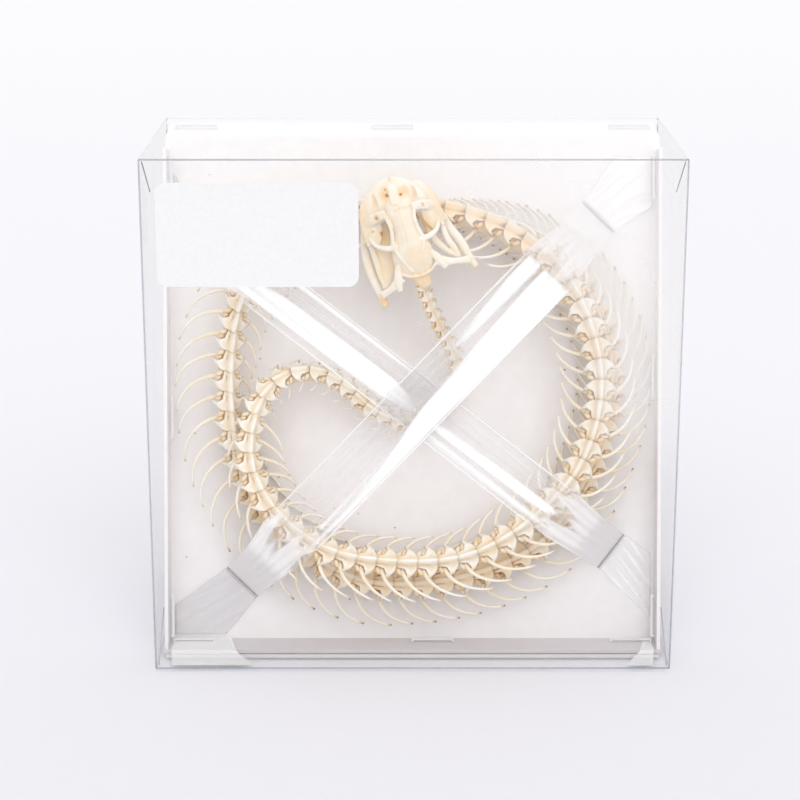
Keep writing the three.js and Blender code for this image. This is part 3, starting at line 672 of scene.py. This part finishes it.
# How hollow the surface is at each vertex, spread over its neighbours
def hollowness(mesh, rounds):
    count = len(mesh.vertices)
    co = np.zeros(count * 3)
    normal = np.zeros(count * 3)
    mesh.vertices.foreach_get("co", co)
    mesh.vertex_normals.foreach_get("vector", normal)
    co, normal = co.reshape(-1, 3), normal.reshape(-1, 3)
    edges = np.zeros(len(mesh.edges) * 2, int)
    mesh.edges.foreach_get("vertices", edges)
    a, b = edges.reshape(-1, 2).T
    degree = np.maximum(np.bincount(a, minlength=count) + np.bincount(b, minlength=count), 1)

    def spread(values):
        total = np.zeros_like(values)
        np.add.at(total, a, values[b])
        np.add.at(total, b, values[a])
        return total / degree[:, None]

    wide = co
    for _ in range(skullSet["hollowSpread"]):
        wide = spread(wide)
    hollow = ((wide - co) * normal).sum(axis=1, keepdims=True) / mm
    for _ in range(rounds):
        hollow = 0.5 * hollow + 0.5 * spread(hollow)
    return co / mm, hollow[:, 0]


def unit(values):
    return np.clip(values, 0, 1)


def setStainAndShade(mesh, values):
    mesh.attributes.new("stainAndShade", "FLOAT", "POINT").data.foreach_set("value", values)


def addSkull():
    bm = bmesh.new()
    skullBones(bm)
    piece = finishPiece(bm, "skull_bones", [], "bone", ["skull"], place=skullToRoom)
    fuseBones(piece, skullSet["voxel"] * mm, skullSet["softening"])
    mesh = piece.data
    co, hollow = hollowness(mesh, skullSet["hollowRounds"])
    turned = skullToRoom.to_3x3().normalized()
    x, y, z = ((co - np.array((skullToRoom.translation / mm)[:])) @ np.array(turned)).T
    # painted shade: darker where the surface is hollow, on a base stain
    stainAndShade = skullSet["stainAndShade"] + skullSet["hollowShade"] * np.clip(hollow, *skullSet["hollowRange"])
    roof = z > 0.4
    push = np.zeros(len(stainAndShade))
    # the pits are dented and darkened, their dark partly painted shade
    for pitX, pitY, wide, long, deep, dark in skullSet["pits"]:
        away = np.hypot((x - pitX) / wide, (y - pitY) / long)
        push += deep * unit(1 - away**2) * roof
        stainAndShade += dark * unit(1.2 - away) * roof
    # seams across and along the roof
    across = np.abs(y - 18.9 - 0.15 * np.sin(x * 2.2)) + 3 * np.clip(np.abs(x - 0.9) - 2.6, 0, 9)
    stainAndShade += 0.5 * unit(1 - across / 0.55) * (z > 2) * (0.6 + 0.4 * np.sin(x * 5))
    along = np.abs(x + 0.15 * np.sin(y * 4)) + 3 * np.clip(np.abs(y - 13.5) - 5, 0, 9)
    stainAndShade += 0.12 * unit(1 - along / 0.3) * (z > 2)
    # the ragged rear, the cheeks and the dome, and painted shade on the under side and in the orbits
    ragged = -0.2 + 0.5 * np.sin(x * 3.1) + 0.3 * np.sin(x * 7.3)
    stainAndShade += 0.3 * unit((ragged + 0.6 - y) / 1.6) * (np.abs(x - 0.8) < 4.4)
    stainAndShade += 0.35 * unit(-0.2 - z)
    stainAndShade += 0.3 * unit((np.abs(x) - 8) / 3) * (y > 12)
    stainAndShade += 0.2 * unit(1 - np.hypot(x - 1.2, y - 4) / 4.6)
    orbit = unit(1.3 - np.hypot((np.abs(x) - 6.2) / 2.2, (y - 12.6) / 3)) * (z < 2.6)
    stainAndShade += 0.5 * orbit
    moved = co * mm - push[:, None] * mm * np.array(turned @ up)
    mesh.vertices.foreach_set("co", moved.ravel().astype(np.float32))
    setStainAndShade(mesh, stainAndShade.astype(np.float32))
    mesh.materials.append(boneLook)
    mesh.shade_smooth()
    for name, side in (("jaw_left", -1), ("jaw_right", 1)):
        bm = bmesh.new()
        line = [onSkull(side, *place) for place in skullSet["jaw"]]
        boneBar(bm, line, lambda t: 0.6 + 0.8 * math.sin(2.6 * t), lambda t: 0.7 + 0.3 * t, 48, 14)
        jaw = finishPiece(bm, name + "_bone", [boneLook], "bone", [name], place=skullToRoom)
        lengthways = [(skullToRoom.inverted() @ v.co).y for v in jaw.data.vertices]
        hinge = [skullSet["hingeStain"] * smoothStep(-y, *skullSet["hinge"]) for y in lengthways]
        setStainAndShade(jaw.data, [skullSet["jawStain"] + value for value in hinge])


addSkull()
print("skull made")

# Clear film straps over the coil; bands of glare are (share along, low edge, high edge, strength)
strapSet = {
    "film": 0.35, "narrow": 12.6, "crest": 18.9, "rise": 20.0, "shoulder": 0.85, "steps": 120, "across": 56,
    "foot": 0.35, "rough": 0.12, "tint": [(0.0, (0.68, 0.66, 0.68)), (0.1, (0.89, 0.87, 0.88)), (0.6, 0.99)],
    "clear": 0.13, "soft": 0.05, "edge": 0.02, "edgeGlare": 0.55, "creaseGlare": 0.1,
    "flatFrom": (0.12, 0.2), "flatTo": (0.8, 0.88), "endFade": (0.11, 0.15),
}
straps = {
    "strap_under": {
        "from": (-62.4, 48), "to": (59.2, -46.2), "sag": -1.0, "wide": 15.5, "seed": 3.0,
        "ends": [(0.5, 0.3), (0.6, 0.1)],
        "bands": [
            [(0.05, 0.1, 0.34, 0.5), (0.2, 0.16, 0.54, 0.9), (0.46, 0.2, 0.6, 0.95), (0.54, 0.3, 0.42, 0.2),
             (0.6, 0.3, 0.46, 0.8), (0.78, 0.32, 0.5, 0.95), (0.84, 0.36, 0.5, 0.9), (0.86, 0.4, 0.5, 0.2)],
            [(0.1, 0.6, 0.68, 0.3), (0.3, 0.66, 0.7, 0.5), (0.5, 0.7, 0.72, 0.0)],
            [(0.04, 0.84, 0.95, 0.4), (0.2, 0.85, 0.95, 0.7), (0.42, 0.88, 0.96, 0.7),
             (0.56, 0.9, 0.96, 0.2)],
            [(0.52, 0.06, 0.2, 0.0), (0.6, 0.06, 0.2, 0.5), (0.8, 0.08, 0.2, 0.6), (0.9, 0.1, 0.2, 0.2)]],
    },
    "strap_over": {
        "from": (-50.8, -55.4), "to": (55, 53.2), "sag": 1.2, "wide": 17.0, "seed": 8.0,
        "ends": [(0.66, 0.2), (0.4, 0.3)],
        "bands": [
            [(0.12, 0.1, 0.16, 0.3), (0.24, 0.06, 0.14, 0.9), (0.36, 0.05, 0.2, 0.9), (0.5, 0.05, 0.42, 0.96),
             (0.66, 0.03, 0.5, 0.98), (0.8, 0.02, 0.56, 0.98), (0.84, 0.02, 0.56, 0.98),
             (0.85, 0.02, 0.56, 0.1)],
            [(0.2, 0.2, 0.24, 0.8), (0.36, 0.24, 0.27, 0.6), (0.44, 0.3, 0.32, 0.0)],
            [(0.58, 0.72, 0.76, 0.0), (0.68, 0.68, 0.82, 0.8), (0.8, 0.66, 0.92, 0.92),
             (0.84, 0.66, 0.92, 0.92), (0.85, 0.66, 0.92, 0.1)]],
    },
}


filmLook, filmTree, filmShader = plainMaterial("clearFilm", (0.98, 0.98, 0.985), strapSet["rough"])
filmTint = ramp(filmTree, attributeNode(filmTree, "glare"), strapSet["tint"])
feed(filmTree, filmShader.inputs["Base Color"], filmTint)
feed(filmTree, filmShader.inputs["Alpha"], attributeNode(filmTree, "cover"))


# A sheet of film; its shape gives glare, cover and place by the share along and the way across
def addFilm(name, along, across, film, shape, offset=1, **rest):
    bm = bmesh.new()
    glare, cover = (bm.verts.layers.float.new(layer) for layer in ("glare", "cover"))
    bmesh.ops.create_grid(bm, x_segments=along, y_segments=across, size=0.5)
    for v in bm.verts:
        v[glare], v[cover], v.co = shape(v.co.x + 0.5, v.co.y)
    thicken(finishPiece(bm, name, [filmLook], "clear_film", **rest), film, offset)


# Strength of the glare and cover at a place on a strap, from its bands, edges, creases and rising ends
def glareAt(settings, t, across):
    most = strapSet["clear"]
    soft = strapSet["soft"]
    for band in settings["bands"]:
        places = [row[0] for row in band]
        if not places[0] <= t <= places[-1]:
            continue
        low, high, strength = (float(np.interp(t, places, column)) for column in list(zip(*band))[1:])
        inside = smoothStep(across, low - soft, low + soft)
        inside *= 1 - smoothStep(across, high - soft, high + soft)
        most = max(most, strength * inside)
    fromEdge = 0.5 - abs(across - 0.5)
    flat = smoothStep(t, *strapSet["flatFrom"]) * (1 - smoothStep(t, *strapSet["flatTo"]))
    crease = strapSet["creaseGlare"] * math.sin(across * 43 + settings["seed"] + 2 * t) ** 8
    crease *= math.sin(across * 17 + 5 * t) ** 2
    glare = min(1.0, max(most, strapSet["edgeGlare"] * flat if fromEdge < strapSet["edge"] else 0) + crease)
    ragged = 0.028 * math.sin(across * 10 + settings["seed"]) + 0.014 * math.sin(across * 27 + 4 * t)
    cover = glare
    for fromEnd, (opaque, white) in ((t, settings["ends"][0]), (1 - t, settings["ends"][1])):
        near = 1 - smoothStep(fromEnd + ragged, *strapSet["endFade"])
        cover = max(cover, opaque * near)
        glare = max(glare, white * near)
    return glare, cover


def addStrap(name, settings):
    a, b = Vector(settings["from"]), Vector(settings["to"])
    run = (b - a).normalized()
    across = Vector((-run.y, run.x))
    span = (b - a).length
    rise, crest, wide, narrow = strapSet["rise"], strapSet["crest"], settings["wide"], strapSet["narrow"]
    shoulder = crest * strapSet["shoulder"]
    # along, height and width, up to the middle
    half = [
        (0, strapSet["foot"], narrow), (0.5, 1, narrow), (rise * 0.55, shoulder, narrow + 1),
        (rise, crest, wide), (rise + 8, crest + 0.2, wide)]
    stations = half + [(span / 2, crest + settings["sag"], wide)]
    stations += [(span - along, height, width) for along, height, width in reversed(half)]
    places, heights, widths = zip(*stations)

    def shape(t, side):
        along = span * t
        height = float(np.interp(along, places, heights))
        width = float(np.interp(along, places, widths))
        lift = min(max((height - 4) / 12, 0), 1)
        wave = 0.22 * math.sin(side * 21 + settings["seed"]) * lift
        wave += 0.18 * math.sin(side * 37 + along * 0.02) * lift
        p = a + run * along + across * (side * width)
        return *glareAt(settings, t, side + 0.5), (p.x, p.y, height + wave)

    addFilm(name + "_film", strapSet["steps"], strapSet["across"], strapSet["film"], shape, replaced=[name])


for name, settings in straps.items():
    addStrap(name, settings)

# The film beyond each crease lies flat and fans out to the walls; the far edge runs through three points
filmEnds = {
    "upper_right": {
        "at": (55, 53.2), "run": (0.70, 0.72), "far": [(71, 56), (71, 71), (60, 71)],
        "glare": 0.6, "cover": 0.75, "streak": 0.25, "seed": 1.0},
    "lower_left": {
        "at": (-50.8, -55.4), "run": (-0.70, -0.72), "far": [(-71, -62.5), (-71, -71), (-55.5, -71)],
        "glare": 0.02, "cover": 0.5, "streak": 0.0, "seed": 2.0},
    "lower_right": {
        "at": (59.2, -46.2), "run": (0.79, -0.61), "far": [(71, -66), (71, -57), (71, -47)],
        "glare": 0.3, "cover": 0.36, "streak": 0.35, "seed": 4.0},
    "upper_left": {
        "at": (-62.4, 48), "run": (-0.79, 0.61), "far": [(-71, 66), (-71, 58), (-71, 46)],
        "glare": 0.3, "cover": 0.3, "streak": 0.3, "seed": 5.0},
}


def addFilmEnd(name, settings):
    middle, run = Vector(settings["at"]), Vector(settings["run"])
    across = Vector((run.y, -run.x)) * (strapSet["narrow"] / 2)
    far = [Vector(p) for p in settings["far"]]

    def shape(t, side):
        near = middle + across * (-2 * side) + run * 0.6
        first, last, share = (far[0], far[1], (side + 0.5) * 2) if side < 0 else (far[1], far[2], side * 2)
        p = near.lerp(first.lerp(last, share), t)
        fan = side * 9 + settings["seed"] + 1.5 * t
        fold = 0.5 + 0.5 * math.sin(fan * 2.3 + math.sin(fan * 1.7 + 3 * t))
        streak = max(0, math.sin(fan * 3.1 + 2.2 * t)) ** 6 * math.sin(math.pi * t) ** 2
        bright = settings["streak"] * streak
        glare = min(0.97, settings["glare"] * (0.8 + 0.3 * fold) + bright)
        cover = min(0.97, settings["cover"] * (0.9 + 0.15 * fold) + bright)
        return glare, cover, (p.x, p.y, strapSet["foot"] + 0.25 * streak)

    addFilm("film_end_" + name, 24, 40, strapSet["film"], shape)


# Two lower ends are tucked over the bottom wall; rows are depth, height, and outer and inner reach
tuckSet = {
    "film": 0.1, "columns": 8, "glare": 0.8, "cover": 0.46,
    "lower_left": [
        (-18.9, 2.5, -71, -54), (-28.3, 2.5, -71, -52), (-28.7, 1.3, -71, -51), (-36.0, 1.1, -70, -46)],
    "lower_right": [(-18.9, 2.5, 71, 69), (-28.3, 2.5, 71, 67), (-28.7, 1.3, 71, 66), (-36.0, 1.1, 70, 62)],
}


def addTuck(name, rows):
    def shape(t, side):
        deep, high, outside, inside = rows[round((side + 0.5) * (len(rows) - 1))]
        return tuckSet["glare"], tuckSet["cover"], (outside + (inside - outside) * t, deep, high)

    addFilm(
        "film_tuck_" + name, tuckSet["columns"], len(rows) - 1, tuckSet["film"], shape, -1,
        smooth=False, place=roomScale)


for name in ("lower_left", "lower_right"):
    addTuck(name, tuckSet[name])

# Painted shadow lines at the creases, thickest in the middle
creaseShadowSet = {
    "colour": (0.34, 0.34, 0.37), "alpha": 0.5, "sides": 6,
    "sections": [(0.12, 0.2), (0.25, 0.25), (0.16, 0.2)],
}
creaseShadowLook = plainMaterial("filmCreaseShadow", creaseShadowSet["colour"], 0.3, alpha=creaseShadowSet["alpha"])[0]
bm = bmesh.new()
for name, settings in filmEnds.items():
    addFilmEnd(name, settings)
    middle, run = Vector((*settings["at"], 1.0)), Vector(settings["run"])
    across = Vector((run.y, -run.x, 0)) * (strapSet["narrow"] / 2)
    line = [middle - across, middle, middle + across]
    sweepSections(bm, line, creaseShadowSet["sections"], creaseShadowSet["sides"], up)
finishPiece(bm, "film_crease_shadows", [creaseShadowLook], "clear_film")
print("straps made")


# Case: thin clear sheet with folded edges; sheets are clearest face on
sheetSet = {
    "rough": 0.04, "tint": (0.97, 0.975, 0.985),
    # the side sheets are painted a darker grey, as painted shade
    "sideShade": (0.52, 0.505, 0.51), "reflectionTint": (0.89, 0.87, 0.87),
    "facing": [(0.0, 0.025), (0.6, 0.03), (0.82, 0.06), (0.95, 0.2), (1.0, 0.6)],
    "side": [(0.0, 0.02), (0.7, 0.03), (0.86, 0.12), (0.95, 0.28), (1.0, 0.4)],
    # painted reflection by distance from a point and by direction from it, and a faint whitening by share
    # from the left edge
    "reflectionReach": [(0.5, 0.0), (0.62, 0.32), (0.75, 0.3), (1.0, 0.12)],
    "reflectionWedge": [(0.58, 0.0), (0.82, 1.0)],
    "reflectionAt": (-0.002, -0.0365, 0.081), "reflectionTowards": (0.8, 0.0, 0.6), "reflectionFar": 0.1,
    "leftWhitening": [(0.0, 0.07), (0.5, 0.06), (1.0, 0.0)], "leftScale": 33.0, "leftShift": 2.475,
}


def sheetMaterial(name, clear, colour):
    material, tree, shader = plainMaterial(name, colour, sheetSet["rough"])
    turned = addNode(tree, "ShaderNodeLayerWeight", Blend=0.5)
    alpha = ramp(tree, turned.outputs["Facing"], clear)
    feed(tree, shader.inputs["Alpha"], alpha)
    return material, tree, shader, alpha


sheetLook = sheetMaterial("clearSheet", sheetSet["facing"], sheetSet["tint"])[0]
sideLook = sheetMaterial("sideSheet", sheetSet["side"], sheetSet["sideShade"])[0]
# fold and flap edge colours: painted shade lines
foldLook = plainMaterial("sheetFold", (0.45, 0.47, 0.56), 0.15, alpha=0.5)[0]
backFoldLook = plainMaterial("sheetFoldBack", (0.80, 0.81, 0.85), 0.15, alpha=0.12)[0]
flapEdgeLook = plainMaterial("flapEdge", (0.10, 0.10, 0.12), 0.3, alpha=0.8)[0]

# painted reflection on the front sheet, strongest at the upper right
reflectionLook, reflectionTree, reflectionShader, clearness = sheetMaterial(
    "paintedReflectionSheet", sheetSet["facing"], sheetSet["reflectionTint"])
room = objectPlace(reflectionTree)
away = vectorNode(reflectionTree, "SUBTRACT", room, sheetSet["reflectionAt"])["Vector"]
reach = vectorNode(reflectionTree, "LENGTH", away)["Value"]
heading = vectorNode(reflectionTree, "DOT_PRODUCT", away, sheetSet["reflectionTowards"])["Value"]
byReach = ramp(reflectionTree, mathNode(reflectionTree, "DIVIDE", reach, sheetSet["reflectionFar"]), sheetSet["reflectionReach"])
byWedge = ramp(reflectionTree, mathNode(reflectionTree, "DIVIDE", heading, reach), sheetSet["reflectionWedge"])
fromLeft = mathNode(
    reflectionTree, "MULTIPLY_ADD", splitVector(reflectionTree, room)["X"], sheetSet["leftScale"], sheetSet["leftShift"])
whitening = mathNode(reflectionTree, "MULTIPLY", byReach, byWedge)
whitening = mathNode(reflectionTree, "MAXIMUM", whitening, ramp(reflectionTree, fromLeft, sheetSet["leftWhitening"]))
feed(reflectionTree, reflectionShader.inputs["Alpha"], mathNode(reflectionTree, "MAXIMUM", clearness, whitening))


# A straight bead of one material
def addBead(bm, a, b, radius, over, index):
    before = set(bm.faces)
    sweepSections(bm, [a, (a + b) / 2, b], [(radius, radius)] * 3, caseSet["beadSides"], over)
    for face in set(bm.faces) - before:
        face.material_index = index


def addCase():
    half = caseSet["width"] / 2
    bm = bmesh.new()
    made = bmesh.ops.create_cube(bm, size=1.0)["verts"]
    for v in made:
        v.co.x = math.copysign(half, v.co.x)
        v.co.y = caseSet["back"] if v.co.y > 0 else caseSet["front"]
        v.co.z = caseSet["height"] if v.co.z > 0 else 0
    back = [f for f in bm.faces if f.normal.y > 0.5]
    bmesh.ops.delete(bm, geom=back, context="FACES_ONLY")
    folds = [e for e in bm.edges if len(e.link_faces) == 2]
    bmesh.ops.bevel(
        bm, geom=folds, offset=caseSet["foldRound"], segments=3, profile=0.5, affect="EDGES", material=-1)
    bm.normal_update()
    for face in bm.faces:
        face.material_index = 1 if face.normal.y < -0.9 else 2 if abs(face.normal.x) > 0.9 else 0
    looks = [sheetLook, reflectionLook, sideLook]
    cover = finishPiece(
        bm, "case_cover_sheet", looks, "clear_sheet", ["case_cover"], smooth=False, place=roomScale)
    thicken(cover, caseSet["sheet"])

    # the fold lines, as thin beads along the edges, darkened as painted shade
    bm = bmesh.new()
    inset = caseSet["beadInset"]
    corners = [Vector(corner) for corner in itertools.product(
        (-half + inset, half - inset), (caseSet["front"] + inset, caseSet["back"] - inset),
        (inset, caseSet["height"] - inset))]
    for p, q in itertools.combinations(corners, 2):
        if sum(abs(p[k] - q[k]) > 1 for k in range(3)) == 1:
            over = up if abs(p.z - q.z) < 1 else Vector((0, 1, 0))
            addBead(bm, p, q, caseSet["bead"], over, 0 if p.y < 0 and q.y < 0 else 1)
    # the edges of the flaps, as painted shade lines: dark at the upper front, faint behind
    for side in (-1, 1):
        over = Vector((side, 0, 0))
        top, bottom = (
            [Vector((side * (half - caseSet["flapInset"]), y, z)) for y, z in caseSet[flap]]
            for flap in ("topFlap", "bottomFlap"))
        addBead(bm, top[0], top[1], caseSet["flapBead"], over, 2)
        addBead(bm, bottom[0], bottom[1], caseSet["flapBead"], over, 0)
        for a, b in zip(top[1:], top[2:]):
            addBead(bm, a, b, caseSet["hemBead"], over, 1)
    looks = [foldLook, backFoldLook, flapEdgeLook]
    lines = finishPiece(bm, "case_fold_lines", looks, "clear_sheet", place=roomScale)
    lines.visible_shadow = False


def dress(node, look):
    node.data.materials.clear()
    node.data.materials.append(look)


addCase()
dress(nodes["case_back"], sheetLook)
print("case made")

# Paper label, card tray and staples keep their solids' shapes
fibreSet = {"detail": 5.0, "rough": 0.65, "dark": 0.95, "bump": 0.15}


# A fibrous finish: colour, roughness, share of metal, scale and depth of the fibres
def fibreMaterial(name, colour, roughness, metallic, scale, depth):
    material, tree, shader = plainMaterial(name, colour, roughness, metallic)
    fibre = noiseNode(tree, scale, fibreSet["detail"], Roughness=fibreSet["rough"])
    shade = ramp(tree, fibre, [(0.3, tuple(c * fibreSet["dark"] for c in colour)), (0.7, colour)])
    feed(tree, shader.inputs["Base Color"], shade)
    addBump(tree, shader, fibre, fibreSet["bump"], depth)
    return material, tree, shader, shade


paperLook = fibreMaterial("labelPaper", (0.86, 0.86, 0.865), 0.6, 0.0, 900.0, 0.00005)[0]
steelLook = fibreMaterial("stapleWire", (0.82, 0.82, 0.84), 0.4, 0.3, 700.0, 0.00003)[0]
cardLook, cardTree, cardShader, cardColour = fibreMaterial(
    "trayCard", (0.92, 0.90, 0.905), 0.7, 0.0, 260.0, 0.00012)

# painted shade: the lower walls are darker than the board by the way they face, and the board is darker low
# down
cardSet = {
    "turned": [(0.0, (0.84, 0.83, 0.84)), (0.15, 1), (0.6, 1), (0.85, (0.78, 0.76, 0.78))],
    "low": [(0.1, 1), (0.25, 0)], "dim": [(0.0, (0.88, 0.87, 0.87)), (0.6, 1)], "height": 0.15,
    # front, back, bottom and top of the grey card strip in front of the bottom wall's lip, standing in for
    # its soft shadow
    "lipShadeStrip": (-28.9, -28.5, 0.4, 1.4),
}
facing = addNode(cardTree, "ShaderNodeNewGeometry").outputs["Normal"]
faceShade = ramp(cardTree, splitVector(cardTree, facing)["Z"], cardSet["turned"])
level = mathNode(cardTree, "DIVIDE", splitVector(cardTree, objectPlace(cardTree))["Z"], cardSet["height"])
shaded = multiplyColours(cardTree, ramp(cardTree, level, cardSet["low"]), cardColour, faceShade)
dimmed = multiplyColours(cardTree, 1.0, shaded, ramp(cardTree, level, cardSet["dim"]))
feed(cardTree, cardShader.inputs["Base Color"], dimmed)
dress(nodes["label"], paperLook)
dress(nodes["tray"], cardLook)
for name, node in nodes.items():
    if name.startswith("staple"):
        dress(node, steelLook)

nodes["label"].visible_shadow = False

# a grey card strip under the bottom wall's lip, painted shade standing in for its soft shadow
bm = bmesh.new()
front, back, bottom, top = cardSet["lipShadeStrip"]
for v in bmesh.ops.create_cube(bm, size=1.0)["verts"]:
    x = math.copysign(halfTray - traySet["edgeInset"], v.co.x)
    v.co = (x, front if v.co.y < 0 else back, bottom if v.co.z < 0 else top)
finishPiece(bm, "tray_lip_shade_strip", [cardLook], "card", smooth=False, place=roomScale)

# Dark specks of dried tissue on the board
speckSet = {"count": 26, "reach": 68.0, "small": 0.1, "large": 0.3, "lift": 0.3, "flat": 0.45}
speckLook = fibreMaterial("driedSpeck", (0.14, 0.09, 0.05), 0.7, 0.0, 1500.0, 0.00002)[0]
bm = bmesh.new()
for i in range(speckSet["count"]):
    size = chance.uniform(speckSet["small"], speckSet["large"])
    x, y = (eitherWay(speckSet["reach"]) for _ in range(2))
    place = Matrix.Translation((x, y, size * speckSet["lift"]))
    addBall(bm, place @ Matrix.Diagonal((size, size, size * speckSet["flat"], 1)))
finishPiece(bm, "board_specks", [speckLook], "dark_bone")
print("specks made")

# Floor, light and camera
floorSet = {
    "size": 5.0, "colour": (0.89, 0.89, 0.91), "rough": 0.8, "low": -0.0005, "runScale": 0.5, "runShift": 0.1,
    # painted shade: the floor is darker nearer the camera, in front of the case
    "run": [(0.0, (0.77, 0.765, 0.81)), (0.22, (0.82, 0.815, 0.86)), (0.85, (0.86, 0.86, 0.88))],
}
bm = bmesh.new()
bmesh.ops.create_grid(bm, x_segments=1, y_segments=1, size=floorSet["size"])
floorMesh = bpy.data.meshes.new("floor")
bm.to_mesh(floorMesh)
bm.free()
floor = addObject("floor", floorMesh)
floor.location.z = floorSet["low"]
floorLook, floorTree, floorShader = plainMaterial("paleFloor", floorSet["colour"], floorSet["rough"])
floorMesh.materials.append(floorLook)
floorDepth = splitVector(floorTree, objectPlace(floorTree))["Y"]
farther = mathNode(floorTree, "MULTIPLY_ADD", floorDepth, floorSet["runScale"], floorSet["runShift"])
feed(floorTree, floorShader.inputs["Base Color"], ramp(floorTree, farther, floorSet["run"]))

skySet = {"colour": (1, 1, 1, 1), "strength": 0.91}
world = bpy.data.worlds.new("studio")
world.use_nodes = True
sky = world.node_tree.nodes["Background"]
sky.inputs["Color"].default_value = skySet["colour"]
sky.inputs["Strength"].default_value = skySet["strength"]
scene.world = world

keySet = {"strength": 0.98, "spread": math.radians(60), "turn": (math.radians(44), 0, math.radians(6))}
light = bpy.data.lights.new("softKey", "SUN")
light.energy = keySet["strength"]
light.angle = keySet["spread"]
addObject("softKey", light).rotation_euler = keySet["turn"]

cameraSet = {
    "sensor": 36, "lens": 94.95, "near": 0.01, "place": (-0.0037, -0.6037, 0.2487),
    "turn": (math.radians(90 - 16.4), 0, 0),
}
camera = bpy.data.cameras.new("camera")
camera.sensor_width = cameraSet["sensor"]
camera.lens = cameraSet["lens"]
camera.clip_start = cameraSet["near"]
viewer = addObject("camera", camera)
viewer.location = cameraSet["place"]
viewer.rotation_euler = cameraSet["turn"]
scene.camera = viewer
scene.view_settings.view_transform = "Standard"

print("scene ready")
